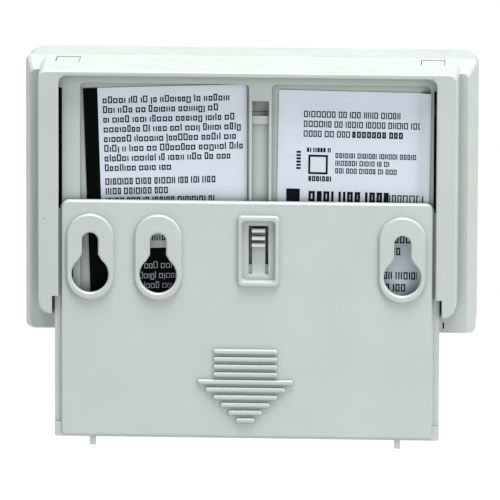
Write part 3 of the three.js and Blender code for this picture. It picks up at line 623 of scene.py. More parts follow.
def ink(name, colour):
    """Printed ink, a little uneven."""
    nodes = Nodes(name)
    cover = nodes.patches(2200, 3, 0.0, 1.0)
    base = nodes.mixed(cover, shaded(colour, 0.85), shaded(colour, 1.25))
    gloss = nodes.patches(500, 3, 0.36, 0.5)
    normal = nodes.bump(nodes.noise(2600, 2), 0.000005)
    return nodes.finish(base, gloss, normal, Specular_IOR_Level=0.05)


def metal(name, colour, roughness=(0.22, 0.42), stretch=(1.0, 1.0, 1.0)):
    """Plated metal with fine scratches, dulled patches and painted shade in its crevices."""
    nodes = Nodes(name)
    dull = nodes.patches(420, 4, 0.0, 1.0)
    base = nodes.mixed(dull, shaded(colour, 0.86), colour)
    # Painted shade: crevices darken to a third of the colour.
    corner = nodes.crevice(0.0008, 0.7, 0.0)
    base = nodes.mixed(corner, base, shaded(colour, 0.35))
    scratches = nodes.noise(3000, 3, stretch=stretch)
    normal = nodes.bump(scratches, 0.00001)
    gloss = nodes.patches(900, 3, *roughness)
    return nodes.finish(base, gloss, normal, Metallic=1.0)


def tinted_lens(name, colour, roughness=(0.08, 0.2), transmission=0.5):
    """Clear tinted plastic with faint flow marks and wipe marks."""
    nodes = Nodes(name)
    tone = nodes.patches(120, 3, 0.0, 1.0)
    base = nodes.mixed(tone, shaded(colour, 0.9), shaded(colour, 1.1))
    gloss = nodes.patches(260, 4, *roughness, (0.5, 1.0, 2.0))
    normal = nodes.bump(nodes.noise(90, 2), 0.0001, 0.3)
    return nodes.finish(base, gloss, normal, Transmission_Weight=transmission, IOR=1.49)


def circuit_board(name, mask):
    """Solder mask with the copper tracks showing through as lighter lines."""
    nodes = Nodes(name)
    colours = {"Color1": mask, "Color2": shaded(mask, 0.85), "Mortar": shaded(mask, 1.7)}
    tracks = nodes.add("ShaderNodeTexBrick", {**colours, "Scale": 150, "Mortar Size": 0.045}, offset=0.35)
    turned = nodes.add("ShaderNodeMapping", {"Rotation": (math.pi / 2, 0, 0)})
    nodes.link(nodes.point, turned.inputs["Vector"])
    nodes.link(turned.outputs["Vector"], tracks.inputs["Vector"])
    tone = nodes.patches(90, 3, 0.0, 0.25)
    base = nodes.mixed(tone, tracks.outputs["Color"], shaded(mask, 0.6))
    normal = nodes.bump(tracks.outputs["Fac"], 0.00003)
    gloss = nodes.patches(400, 3, 0.3, 0.5)
    return nodes.finish(base, gloss, normal)


FINISHES = {  # how each material is made, its colour and its other settings
    "case_plastic": (moulded_plastic, (192, 201, 195), {}),
    "plate_plastic": (moulded_plastic, (194, 203, 199), {}),
    "button_plastic": (moulded_plastic, (176, 183, 180), {"roughness": (0.3, 0.4), "grain": 3000}),
    "grey_plastic": (moulded_plastic, (125, 130, 133), {}),
    "black_plastic": (moulded_plastic, (26, 27, 29), {"roughness": (0.35, 0.5)}),
    "cell_wrap": (moulded_plastic, (47, 92, 140), {"roughness": (0.25, 0.4), "grain": 1500}),
    "label_paper": (paper, (216, 226, 237), {}),
    "label_ink": (ink, (15, 18, 20), {}),
    "label_black": (ink, (1, 3, 2), {}),
    "label_reverse": (ink, (170, 178, 184), {}),
    "segment_grey": (ink, (196, 188, 178), {}),
    "dark_window": (tinted_lens, (150, 150, 154), {"roughness": (0.04, 0.12), "transmission": 1.0}),
    "red_lens": (tinted_lens, (214, 40, 30), {}),
    "amber_lens": (tinted_lens, (232, 150, 32), {}),
    "green_lens": (tinted_lens, (60, 176, 84), {}),
    "steel": (metal, (200, 203, 205), {}),
    "brass": (metal, (214, 178, 100), {}),
    "copper": (metal, (196, 120, 76), {"roughness": (0.3, 0.45), "stretch": (1.0, 8.0, 1.0)}),
    "board_green": (circuit_board, (24, 84, 52), {}),
}
MATERIALS = {name: make(name, srgb(*colour), **more) for name, (make, colour, more) in FINISHES.items()}

# ---------- the rear housing ----------


def rounded_ends(sizes, face_y, edge):
    """Sections of a round edge of the given size, which ends in a flat face."""
    toward = math.copysign(1, face_y - SPLIT_Y)
    return [inset_section(face_y - toward * drop, sizes, inset) for inset, drop in quarter(edge, 6)]


def rear_form():
    """The outside of the rear shell: the sloped shoulder, and the raised back on it."""
    mouth = SPLIT_Y + SPLIT_GAP
    foot = section(mouth, CASE_HALF_WIDTH, -CASE_HALF_HEIGHT, CASE_HALF_HEIGHT, CASE_CORNER)
    shoulder = solid([foot, *rounded_ends(SHOULDER, SHOULDER_Y, EDGE)])
    spread = dict(BACK, half_width=BACK["half_width"] + DRAFT, bottom=BACK["bottom"] - DRAFT,
                  top=CASE_HALF_HEIGHT - BACK_TOP_SETBACK)
    back = solid([inset_section(mouth, spread, 0), *rounded_ends(BACK, 0, EDGE)])
    return join(shoulder, back)


def rear_cavity():
    """The hollow behind the shoulder and the deeper one under the floor, as two bodies."""
    mouth = SPLIT_Y - OVERRUN
    half_height = CASE_HALF_HEIGHT - WALL
    wide = solid([
        section(mouth, CASE_HALF_WIDTH - WALL, -half_height, half_height, CAVITY_CORNER),
        inset_section(SHOULDER_Y - WALL, SHOULDER, WALL),
    ])
    deep_end = FLOOR_Y - FLOOR_THICKNESS
    deep = solid([inset_section(mouth, BACK, WALL), inset_section(deep_end, BACK, WALL)])
    return [wide, deep]


def recess_cutters():
    """The recess with its flared mouth, the grooves for the plate's flanges, and the rails' notches."""
    flare = [
        section(y, RECESS["half_width"] + out, BELOW, RECESS["top"] + out, RECESS["corner"])
        for out, y in RECESS_MOUTH
    ]
    groove_x = centred(0, GROOVE_WIDTH)
    notch_x = centred(0, NOTCH_WIDTH)
    return [
        solid([section(FLOOR_Y, **RECESS), section(OVERRUN, **RECESS)]),
        solid(flare),
        block(groove_x, (FLOOR_Y, -LIP_THICKNESS), (BELOW, GROOVE_TOP)),
        block(notch_x, (FLOOR_Y, OVERRUN), (BELOW, LIP_BOTTOM)),
    ]


def floor_cutters():
    """The rail slots, the label bays, the latch channel and the mould slot in the floor of the recess."""
    high = FLOOR_Y + SHORT_OVERRUN
    through = (FLOOR_Y - FLOOR_THICKNESS - OVERRUN, high)
    slot_edges = both_sides((RAIL_SLOT_INNER, GROOVE_WIDTH / 2))
    cutters = [block(x, through, z) for z in RAIL_SLOTS for x in slot_edges]
    cutters += [prism(rectangle(x, BAY_Z, BAY_CORNER), FLOOR_Y - BAY_DEPTH, high) for x in BAYS]
    bar_low, bar_high = CROSS_BAR
    cutters.append(block(CHANNEL, (FLOOR_Y - BAY_DEPTH, high), (BELOW, bar_low)))
    over_bar = (bar_low - OVERLAP, bar_high + OVERLAP)
    cutters.append(block(CHANNEL, (FLOOR_Y - CROSS_BAR_DROP, high), over_bar))
    bed = FLOOR_Y - POCKET_DEPTH
    foot = [(bed + height, bar_high + rise) for height, rise in POCKET_FOOT]
    cutters.append(bar([(bed, POCKET_TOP), (high, POCKET_TOP), (high, bar_high), *foot], CHANNEL))
    cutters.append(block(MOULD_SLOT[0], through, MOULD_SLOT[1]))
    return cutters


def screw_places(names):
    """The middle of each named screw, as (x, z)."""
    boxes = [span(name) for name in names]
    return [((low.x + high.x) / 2, (low.z + high.z) / 2) for low, high in boxes]


def rear_housing():
    """The back shell: its form and columns, then everything that is cut into them."""
    shell = cut(rear_form(), *rear_cavity())
    screws = screw_places(CASE_SCREWS)
    column_y = (SPLIT_Y + SPLIT_GAP, SHOULDER_Y - SHORT_OVERRUN)
    shell = join(shell, *[cylinder(*spot, REAR_SCREW["column"], *column_y) for spot in screws])
    cutters = recess_cutters() + floor_cutters()
    cutters += [block(x, SNAP_WINDOW_Y, SNAP_WINDOW_Z) for x in both_sides(SNAP_WINDOW_X)]
    hole_y = (SPLIT_Y - OVERRUN, SHOULDER_Y + OVERRUN)
    head_y = (SHOULDER_Y - REAR_SCREW["head_depth"], SHOULDER_Y + SHORT_OVERRUN)
    for spot in screws:
        cutters.append(cylinder(*spot, REAR_SCREW["hole"], *hole_y))
        cutters.append(cylinder(*spot, REAR_SCREW["head"], *head_y))
    cutters.append(lathe(*RIM_PIP, RIM_PIP_PROFILE, steps=24))
    vent_y = (SHOULDER_Y - WALL - OVERRUN, SHOULDER_Y + SHORT_OVERRUN)
    cutters.append(block(VENT_SLIT[0], vent_y, VENT_SLIT[1]))
    return ease(cut(shell, *cutters), SOFT_EDGE["rear"])


# ---------- the front cover ----------


def cover_sections(inset, face_y, end_y):
    """The cover's form from its split line at end_y to its face, drawn in by inset."""
    base = {
        "half_width": CASE_HALF_WIDTH - inset,
        "bottom": -CASE_HALF_HEIGHT + inset,
        "top": CASE_HALF_HEIGHT - inset,
        "corner": COVER_CORNER,
    }
    face = dict(base, corner=FACE_CORNER)
    edge = max(FACE_ROUND - inset / 2, FACE_ROUND_INSIDE)
    rounded = [inset_section(face_y + drop, face, gone) for gone, drop in quarter(edge, 9)]
    return [inset_section(end_y, base, 0), inset_section(COVER_WALL_Y, base, 0), *rounded]


def grille_cutters():
    """Round-ended slots that fill a circle."""
    cutters = []
    through = (FRONT_Y - OVERRUN, FRONT_Y + WALL + OVERRUN)
    for i in range(GRILLE["count"]):
        offset = (i - (GRILLE["count"] - 1) / 2) * GRILLE["pitch"]
        reach = math.sqrt(GRILLE["radius"] ** 2 - offset ** 2)
        x = centred(GRILLE["x"], 2 * reach)
        z = centred(GRILLE["z"] + offset, GRILLE["slot"])
        cutters.append(prism(rectangle(x, z, GRILLE["slot"] / 2 - ARC_GAP, steps=10), *through))
    return cutters


def around(feature, grow=0.0):
    """The x and z limits of a front feature, grown on each side."""
    x = centred(feature["x"], feature["width"] + 2 * grow)
    z = centred(feature["z"], feature["height"] + 2 * grow)
    return x, z


def button_place(node):
    """The cap's middle and size, from the CAD button, whose flange is larger all round."""
    low, high = span(node)
    return {
        "x": (low.x + high.x) / 2,
        "z": (low.z + high.z) / 2,
        "width": high.x - low.x - 2 * CAP_FLANGE,
        "height": high.z - low.z - 2 * CAP_FLANGE,
    }


def front_cover():
    """The front shell: its form, posts, snap tabs and bezel, then its openings and its screw bores."""
    shell = solid(cover_sections(0, FRONT_Y, SPLIT_Y - SPLIT_GAP))
    shell = cut(shell, solid(cover_sections(WALL, FRONT_Y + WALL, SPLIT_Y + OVERRUN)))
    case_screws = screw_places(CASE_SCREWS)
    board_screws = screw_places(("board_screw_left", "board_screw_right"))
    board_front = span("circuit_board")[0].y
    inner_y = FRONT_Y + OVERRUN
    additions = [cylinder(*spot, POST_RADIUS, inner_y, SPLIT_Y - SPLIT_GAP) for spot in case_screws]
    additions += [cylinder(*spot, POST_RADIUS, inner_y, board_front - BOARD_GAP) for spot in board_screws]
    additions += [bar(SNAP_TAB, x) for x in both_sides(SNAP_TAB_X)]
    bezel_edge = quarter(BEZEL["round"])
    bezel_y = (inner_y, FRONT_Y - BEZEL["proud"])
    additions.append(cushion(*around(WINDOW, BEZEL["width"]), BEZEL["corner"], *bezel_y, bezel_edge))
    shell = join(shell, *additions)
    through = (FRONT_Y - 2 * OVERRUN, FRONT_Y + WALL + OVERRUN)
    cutters = grille_cutters()
    cutters.append(prism(rectangle(*around(WINDOW), WINDOW_CORNER), *through))
    for node in ("test_button", "peak_button"):
        edges = around(button_place(node), BUTTON_GAP)
        cutters.append(prism(rectangle(*edges, BUTTON_CORNER + BUTTON_GAP), *through))
    cutters += [cylinder(LED_X, z, LED_HOLE, *through) for z in LED_Z.values()]
    for bore, spots, end in (
        (CASE_SCREW_BORE, case_screws, SPLIT_Y + OVERRUN),
        (BOARD_SCREW_BORE, board_screws, board_front + OVERRUN),
    ):
        cutters += [cylinder(*spot, bore["radius"], bore["end_y"], end) for spot in spots]
    return ease(cut(shell, *cutters), SOFT_EDGE["cover"])


# ---------- the back plate ----------


def keyhole(x, grow=0.0, steps=40):
    """The outline of a keyhole: a slot with a flared mouth over a round head."""
    half = SLOT_WIDTH / 2 + grow
    radius = HEAD_RADIUS + grow
    flare = half + MOUTH_FLARE
    meet = math.acos(flare / radius)
    neck = HEAD_Z + radius * math.sin(meet) + MOUTH_RISE
    slot_end = arc(x, SLOT_TOP + grow - half, half, 0, math.pi, steps // 2)
    head = arc(x, HEAD_Z, radius, math.pi - meet, math.pi + 2 * meet, steps)
    return [(x + half, neck), *slot_end, (x - half, neck), *head]


def plate_sheet():
    """The sheet with a rounded edge and a sloped foot, its flanges, corner blocks and pegs."""
    rings = []
    for inset, drop in [(0, PLATE_FACE_Y - PLATE_BACK_Y), *slope(PLATE_EDGE)]:
        half = PLATE_HALF_WIDTH - inset
        z = (PLATE_BOTTOM + inset * PLATE_BEVEL / PLATE_EDGE, PLATE_TOP - inset)
        ring = rectangle((-half, half), z, PLATE_CORNER - inset, PLATE_FOOT_CORNER)
        rings.append(at_y(ring, PLATE_FACE_Y - drop))
    flange_x = (-FLANGE_HALF_WIDTH, FLANGE_HALF_WIDTH)
    flange = rectangle(flange_x, (PLATE_BOTTOM, FLANGE_TOP), FLANGE_CORNER, PLATE_FOOT_CORNER)
    blocks_z = (PLATE_BOTTOM, CORNER_BLOCK["top"])
    blocks = rectangle(flange_x, blocks_z, CORNER_BLOCK["corner"], PLATE_FOOT_CORNER)
    additions = [prism(flange, PLATE_BACK_Y, FLANGE_Y), prism(blocks, PLATE_BACK_Y, CORNER_BLOCK["y"])]
    peg_z = (PLATE_BOTTOM - PEG_LENGTH, PLATE_BOTTOM + OVERRUN)
    additions += [block(centred(x, PEG_WIDTH), (PLATE_BACK_Y, PEG_Y), peg_z) for x in PEG_X]
    return join(solid(rings), *additions)


def raised(middle, width, z, corner, edge, top=0, steps=8):
    """A slab that stands on the plate's face and reaches to y = top."""
    return cushion(centred(middle, width), z, corner, PLATE_FACE_Y - OVERRUN, top, edge, steps)


def keyhole_cutters(x):
    """The keyhole, the pocket behind it for the screw's head, and the chamfer round its mouth."""
    width = PAD_WIDTH - 2 * PAD_WALL
    z = (PAD_Z[0] + PAD_WALL, PAD_Z[1] - PAD_WALL)
    back = PLATE_BACK_Y - OVERRUN
    pocket = prism(rectangle(centred(x, width), z, width / 2 - ARC_GAP, steps=16), back, -KEYHOLE_LIP)
    chamfer_mouth = at_y(keyhole(x, KEYHOLE_CHAMFER + OVERLAP), OVERLAP)
    chamfer = solid([at_y(keyhole(x), -KEYHOLE_CHAMFER), chamfer_mouth])
    return [prism(keyhole(x), back, OVERRUN), pocket, chamfer]


def arrow_ribs():
    """The ribs that make the arrow, from the top of its shaft to its point."""
    ribs = []
    for i, width in enumerate(ARROW_WIDTHS):
        z = centred(ARROW_TOP - i * ARROW_PITCH, ARROW_RIB)
        edge = quarter(ARROW_ROUND)
        ribs.append(raised(ARROW_X, width, z, ARROW_RIB / 2 - ARC_GAP, edge, PLATE_FACE_Y + ARROW_HEIGHT))
    return ribs


def mounting_plate():
    """The plate's sheet with its pads, arrow and latch frame, then the keyholes and the latch's well."""
    pad_corner = PAD_WIDTH / 2 - ARC_GAP
    pads = [raised(x, PAD_WIDTH, PAD_Z, pad_corner, slope(PAD_EDGE), steps=20) for x in KEYHOLE_X]
    plate = join(plate_sheet(), *pads, *arrow_ribs(), raised(LATCH_X, **LATCH_FRAME))
    cutters = [cutter for x in KEYHOLE_X for cutter in keyhole_cutters(x)]
    return ease(cut(plate, *cutters, *latch_cutters()), SOFT_EDGE["plate"])


def root_recess(sizes, x):
    """A shallow recess with a sloped foot, below the tongue's slot."""
    top = TONGUE_SLOT["z"][0] + OVERLAP
    y, end = sizes["y"], sizes["end"]
    return bar([(0, top), (y, top), (y, sizes["foot"]), (WELL_FLOOR["y"], end), (0, end)], x)


def latch_cutters():
    """The latch's well with its sloped walls, the tongue's slot, and the step and grooves at its root."""
    well = solid([
        at_y(rectangle(centred(LATCH_X, end["width"]), end["z"], end["corner"]), end["y"])
        for end in (WELL_FLOOR, WELL_MOUTH)
    ])
    left, right = centred(LATCH_X, TONGUE_SLOT["width"])
    slot = block((left, right), (PLATE_BACK_Y - OVERRUN, OVERRUN), TONGUE_SLOT["z"])
    step = root_recess(ROOT_STEP, (left, right))
    width = ROOT_GROOVE["width"]
    grooves = [root_recess(ROOT_GROOVE, x) for x in ((left, left + width), (right - width, right))]
    return [well, slot, step, *grooves]


def latch_tongue():
    """The springy tongue: a root that joins the plate, a ramp, three grip ribs and a hook behind."""
    low = PLATE_BACK_Y + OVERLAP
    root = TONGUE_SLOT["z"][0] - TONGUE_LAP
    face = ROOT_STEP["y"] - TONGUE_SINK
    profile = [(low, root), (face, root), (face, TONGUE_RAMP[0]), (TONGUE_VALLEY_Y, TONGUE_RAMP[1])]
    for start, end in TONGUE_RIBS:
        profile.append((TONGUE_VALLEY_Y, start - RIB_SLOPE))
        profile += [(TONGUE_CREST_Y, start), (TONGUE_CREST_Y - RIB_LEAN, end)]
        if end < TONGUE_RIBS[-1][1]:
            profile.append((TONGUE_VALLEY_Y, end + RIB_SLOPE))
    profile += [TONGUE_TIP, (low, TONGUE_TIP[1])]
    hook_low, hook_high = HOOK["z"]
    profile += [(HOOK["y"], hook_high), (HOOK["y"], hook_low), (low, hook_low)]
    return ease(bar(profile, centred(LATCH_X, TONGUE_WIDTH)), SOFT_EDGE["tongue"], segments=2)


# ---------- the labels ----------


class Label:
    """A sheet of paper on the back: its top left corner as seen from behind, its size, its turn, and its lie.

    turn is in degrees, and raises the sheet's right side. lift gives the height of its underside at (x, z).
    narrowing is how much narrower the sheet is at its foot, where its bay trims it.
    """

    def __init__(self, corner, width, height, turn, lift, narrowing=0.0):
        self.corner = Vector(corner)
        self.width = width
        self.height = height
        self.taper = narrowing / width / height
        angle = math.radians(turn)
        self.along = Vector((-math.cos(angle), math.sin(angle)))
        self.downward = Vector((-math.sin(angle), -math.cos(angle)))
        self.lift = lift

    def point(self, across, down, height):
        """A point so far across and down from the corner, and so high over the paper's seat."""
        x, z = self.corner + self.along * across * (1 - self.taper * down) + self.downward * down
        return (x, PAPER_Y + self.lift(x, z) + height, z)

    def patch(self, body, across, down, low, high, cells=(1, 1)):
        """Adds to body a closed sheet of cells over part of the label, from height low to height high."""
        columns, rows = cells
        layers = []
        for height in (low, high):
            layers.append([[body.verts.new(self.point(
                across[0] + (across[1] - across[0]) * i / columns,
                down[0] + (down[1] - down[0]) * j / rows,
                height)) for j in range(rows + 1)] for i in range(columns + 1)])
        bottom, top = layers
        for i in range(columns):
            for j in range(rows):
                for layer in layers:
                    body.faces.new((layer[i][j], layer[i + 1][j], layer[i + 1][j + 1], layer[i][j + 1]))
        edge = [(i, 0) for i in range(columns)] + [(columns, j) for j in range(rows)]
        edge += [(i, rows) for i in range(columns, 0, -1)] + [(0, j) for j in range(rows, 0, -1)]
        for (a, b), (c, d) in zip(edge, edge[1:] + edge[:1]):
            body.faces.new((bottom[a][b], bottom[c][d], top[c][d], top[a][b]))


def cockle(x, z):
    """The slight waves of paper that was stuck on by hand."""
    return COCKLE * (1 + math.sin(x * 0.31 + z * 0.12) * math.cos(z * 0.23 - x * 0.07))


def over_the_lip(x, z):
    """The right label lies in its bay and climbs over the bay's outer lip."""
    share = min(max((CLIMB["start"] - x) / CLIMB["width"], 0.0), 1.0)
    return cockle(x, z) * (1 - share) + share * share * (3 - 2 * share) * BAY_DEPTH


INSTRUCTIONS = Label(corner=(41.5, 28.7), width=41.2, height=53.0, turn=2.1, lift=cockle, narrowing=1.75)
RATING = Label(corner=(-7.75, 28.9), width=38.3, height=51.5, turn=-0.8, lift=over_the_lip)


class Print:
    """Rows of plain strokes in word-like groups, which stand for print without being letters."""

    WORD_LENGTHS = (2, 8)
    WORD_GAP = 0.32  # this and the sizes below are shares of a tall sign's height
    SIGN_GAPS = (0.14, 0.2)
    BOX_WIDTHS = (0.48, 0.66)
    SMALL_HEIGHT = 0.72
    TAIL = 0.22
    TALL_CHANCE = 0.22
    TAIL_CHANCE = 0.08
    STROKE_CHANCE = 0.36

    def __init__(self, label, seed, seat):
        self.label = label
        self.seat = seat
        self.body = bmesh.new()
        self.random = random.Random(seed)

    def mark(self, across, down, width, height):
        """A plain filled block."""
        low, high = self.seat, self.seat + INK
        self.label.patch(self.body, (across, across + width), (down, down + height), low, high)

    def box(self, across, top, width, height, line):
        """A plain upright box drawn in outline."""
        self.mark(across, top, line, height)
        self.mark(across + width - line, top, line, height)
        for edge in (top, top + height - line):
            self.mark(across + line + INK_GAP, edge, width - 2 * (line + INK_GAP), line)

    def row(self, across, base, length, tall, stroke, capitals):
        """One row from across, on the line base, of that length. tall is the height of a tall sign."""
        end = across + length
        small = tall if capitals else tall * self.SMALL_HEIGHT
        while across < end - tall:
            for _ in range(self.random.randint(*self.WORD_LENGTHS)):
                height = tall if self.random.random() < self.TALL_CHANCE else small
                has_tail = not capitals and self.random.random() < self.TAIL_CHANCE
                full_height = height + (self.TAIL * tall if has_tail else 0)
                width = stroke
                if self.random.random() < self.STROKE_CHANCE:
                    self.mark(across, base - height, stroke, full_height)
                else:
                    width = tall * self.random.uniform(*self.BOX_WIDTHS)
                    self.box(across, base - height, width, full_height, stroke)
                across += width + tall * self.random.uniform(*self.SIGN_GAPS)
                if across > end:
                    break
            across += tall * self.WORD_GAP

    def rows(self, blocks):
        """Blocks of rows, each given as (across, first base line, pitch, lengths, tall, stroke, capitals)."""
        for across, base, pitch, lengths, tall, stroke, capitals in blocks:
            for i, length in enumerate(lengths):
                self.row(across, base + i * pitch, length, tall, stroke, capitals)


STRIPE = 3.6
DARK_FROM = 41.0
INSTRUCTION_ROWS = (  # eight rows of small print, four of capitals, and those that the plate hides
    (4.85, 4.0, 2.46, (32.3, 30.97, 34.2, 34.39, 33.06, 35.15, 32.49, 16.625), 1.75, 0.3, False),
    (4.85, 24.7, 2.46, (27.5, 16.0, 30.0, 27.0), 1.65, 0.3, True),
    (4.85, 34.2, 2.46, (33.0, 35.5, 31.0), 1.75, 0.3, False),
)
REVERSE_ROWS = ((6.2, 46.2, 2.54, (33.0, 31.5, 34.0), 1.7, 0.18, False),)
RATING_ROWS = (
    (6.4, 6.8, 2.48, (24.2, 29.0, 11.4), 1.6, 0.25, True),
    (18.6, 11.76, 0, (12.2,), 1.6, 0.38, True),
    (7.3, 15.6, 0, (6.6,), 1.1, 0.3, True),
    (7.8, 23.0, 0, (5.4,), 1.3, 0.32, True),
    (14.5, 17.0, 1.93, (21.0, 15.3, 15.6), 1.3, 0.23, True),
    (7.9, 28.1, 0, (19.5,), 2.6, 0.62, True),
    (28.2, 28.1, 0, (9.0,), 2.1, 0.28, True),
    (2.4, 32.1, 3.07, (33.5, 33.0, 31.0, 28.0, 20.0, 33.5, 30.0), 1.9, 0.32, True),
)
SQUARE_MARK = {"across": 7.7, "top": 16.3, "width": 4.9, "height": 4.9, "line": 0.5}
PLAIN_MARKS = [{"across": 2.3, "down": 25.0, "width": 3.4, "height": 3.2}]
PLAIN_MARKS += [{"across": 4.7, "down": 15.4 + i * 0.82, "width": 1.1, "height": 0.5} for i in range(6)]


def label_sheet(label):
    body = bmesh.new()
    label.patch(body, (0, label.width), (0, label.height), 0, PAPER, (40, 40))
    return from_bmesh(body)


def printed(label, seed, blocks, seat=PAPER, box=None, marks=()):
    """Blocks of rows, with a box in outline and plain marks."""
    sheet = Print(label, seed, seat)
    sheet.rows(blocks)
    if box:
        sheet.box(**box)
    for sizes in marks:
        sheet.mark(**sizes)
    return from_bmesh(sheet.body)


def instruction_border():
    """The black border down the left edge and the black lower part."""
    body = bmesh.new()
    INSTRUCTIONS.patch(body, (0, STRIPE), (0, DARK_FROM), PAPER, PAPER + INK, (4, 30))
    dark = (DARK_FROM + INK_GAP, INSTRUCTIONS.height)
    INSTRUCTIONS.patch(body, (0, INSTRUCTIONS.width), dark, PAPER, PAPER + INK, (40, 12))
    return from_bmesh(body)


# ---------- the front's small parts ----------


def lens_pane():
    low, high = span("display_lens")
    edge = quarter(LENS["round"])
    return cushion((low.x, high.x), (low.z, high.z), LENS["corner"], high.y, low.y, edge, steps=10)


SEGMENTS = (  # the ends of a digit's seven bars, in digit widths and half heights, from the top down
    ((0, 2), (1, 2)),
    ((0, 1), (0, 2)), ((1, 1), (1, 2)),
    ((0, 1), (1, 1)),
    ((0, 0), (0, 1)), ((1, 0), (1, 1)),
    ((0, 0), (1, 0)),
)


def display_digits():
    """Three digits of seven unlit bars, standing a little proud of the display's dark face."""
    face_y = span("display_module")[0].y
    width, half_height, half_bar, gap = DIGIT["width"], DIGIT["half_height"], DIGIT["bar"] / 2, DIGIT["gap"]
    bars = []
    for digit in (-1, 0, 1):
        left = WINDOW["x"] - width / 2 - digit * DIGIT["pitch"]
        bottom = WINDOW["z"] - half_height
        for (x0, z0), (x1, z1) in SEGMENTS:
            a = Vector((left + x0 * width, bottom + z0 * half_height))
            b = Vector((left + x1 * width, bottom + z1 * half_height))
            along = (b - a).normalized()
            side = Vector((-along.y, along.x)) * half_bar
            tip = along * (half_bar + gap)
            near, far = a + along * gap, b - along * gap
            points = [near, a + tip + side, b - tip + side, far, b - tip - side, a + tip - side]
            bars.append(prism(points, face_y + DIGIT["y"][0], face_y + DIGIT["y"][1]))
    return join(bars[0], *bars[1:])


def display_body():
    low, high = span("display_module")
    return ease(block((low.x, high.x), (low.y, high.y), (low.z, high.z)), SOFT_EDGE["display"])


def press_cap(node):
    """A button cap with a shallow dish in its face, the flange behind it and its stem."""
    spot = button_place(node)
    low, high = span(node)
    back = FRONT_Y + WALL
    cap = cushion(*around(spot), BUTTON_CORNER, back + CAP_EDGE_Y, low.y, quarter(CAP_ROUND))
    flange_y = [back + y for y in CAP_FLANGE_Y]
    flange = prism(rectangle(*around(spot, CAP_FLANGE), BUTTON_CORNER), *flange_y)
    stem = cylinder(spot["x"], spot["z"], CAP_STEM, back + OVERRUN, high.y)
    mouth = rectangle(*around(spot, -DISH_MOUTH["inset"]), DISH_MOUTH["corner"])
    bed = rectangle(*around(spot, -DISH_BED["inset"]), DISH_BED["corner"])
    dish = solid([at_y(mouth, low.y - OVERLAP), at_y(mouth, low.y), at_y(bed, low.y + DISH_BED["depth"])])
    return ease(cut(join(cap, flange, stem), dish), SOFT_EDGE["cap"])


def led_lamp(node):
    """A lamp with a domed end and a flange."""
    low, high = span(node)
    radius = LED["radius"]
    flange = radius + LED["flange"]
    flange_y = high.y - LED["flange_height"]
    dome = [(max(radius - inset, LED["tip"]), low.y + drop) for inset, drop in quarter(radius, 8)]
    return lathe(LED_X, LED_Z[node], [(flange, high.y), (flange, flange_y), (radius, flange_y), *dome])


def pan_screw(node):
    """A pan-head screw with a cross recess. Its thread is turned as a row of ridges."""
    low, high = span(node)
    x, z = screw_places([node])[0]
    profile = [(radius, low.y + y) for radius, y in SCREW_TIP]
    ridge_y = low.y + THREAD["margin"]
    while ridge_y < high.y + SCREW_HEAD[0][1] - THREAD["margin"]:
        profile += [(radius, ridge_y + y) for radius, y in THREAD["ridge"]]
        ridge_y += THREAD["pitch"]
    profile += [(radius, high.y + y) for radius, y in SCREW_HEAD]
    y = (high.y - SCREW_CROSS["depth"], high.y + OVERRUN)
    sizes = (SCREW_CROSS["length"], SCREW_CROSS["width"])
    cross = [block(centred(x, across), y, centred(z, up)) for across, up in (sizes, sizes[::-1])]
    return cut(lathe(x, z, profile), *cross)


# ---------- putting the pieces together ----------


def build_pieces():
    """Makes every piece. place() is told its name, finish and body, and the CAD nodes that it stands for."""
    place(rear_housing(), "rear_shell", "case_plastic", "case", "rear_housing")
    place(front_cover(), "cover_shell", "case_plastic", "case", "front_cover")
    place(mounting_plate(), "back_plate", "plate_plastic", "plate", "mounting_plate")
    tongue = place(latch_tongue(), "latch_tongue", "plate_plastic", None, "plate_latch")
    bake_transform(tongue)

    place(label_sheet(INSTRUCTIONS), "instruction_sheet", "label_paper", "case", "instruction_label")
    place(label_sheet(RATING), "rating_sheet", "label_paper", "case", "rating_label")
    place(printed(INSTRUCTIONS, 11, INSTRUCTION_ROWS), "instruction_print", "label_ink", "case")
    place(instruction_border(), "instruction_border", "label_black", "case")
    reverse = printed(INSTRUCTIONS, 23, REVERSE_ROWS, PAPER + INK)
    place(reverse, "instruction_light_print", "label_reverse", "case")
    rating = printed(RATING, 37, RATING_ROWS, PAPER, SQUARE_MARK, PLAIN_MARKS)
    place(rating, "rating_print", "label_ink", "case")

    place(lens_pane(), "window_pane", "dark_window", "case", "display_lens")
    place(display_body(), "display_body", "black_plastic", "case", "display_module")
    place(display_digits(), "display_digits", "segment_grey", "case")
    for key in ("test", "peak"):
        node = key + "_button"
        place(press_cap(node), node + "_cap", "button_plastic", key + "_cap", node)
    for node in LED_Z:
        place(led_lamp(node), node + "_lamp", node.replace("led_", "") + "_lens", "case", node)
    for node in CASE_SCREWS:
        place(pan_screw(node), node + "_turned", "steel", "case", node)


def dress_cad_nodes():
    """Gives each CAD node that still shows its material and soft edges."""
    slots = {row["node"]: row["material_slot"] for row in frame["record"]["subparts"]}
    for name, obj in frame["nodes"].items():
        if obj.hide_render:
            continue
        dress(obj, slots[name])
        bevel = obj.modifiers.new("ease", "BEVEL")
        bevel.width = CAD_SOFT_EDGE * MM
        bevel.segments = 2
        bevel.angle_limit = CAD_SHARP_ANGLE


# ---------- the stage, in metres and degrees ----------

# A bearing goes from behind the object (+Y) towards the picture's right (-X).
VIEW = {"elevation": 9.5, "bearing": 3.05, "roll": 0.2, "distance": 1.8, "lens": 511.2}
AIM_FROM_MIDDLE = Vector((0.1, 2.0, -0.9)) * MM
FAR_CLIP = 60
FLOOR_Z = -0.1
FLOOR_REACH = 12.0
KEY_LIGHT = {"strength": 5.6, "spread": 34, "elevation": 81.5, "bearing": 28}
SIDE_LIGHT = {"power": 1.9, "size": 0.35, "place": (-0.55, 0.45, 0.3)}
SKY = {"colour": (0.97, 0.985, 1.0, 1), "strength": 0.13}
BACKDROP = {"colour": (1, 1, 1, 1), "strength": 1}


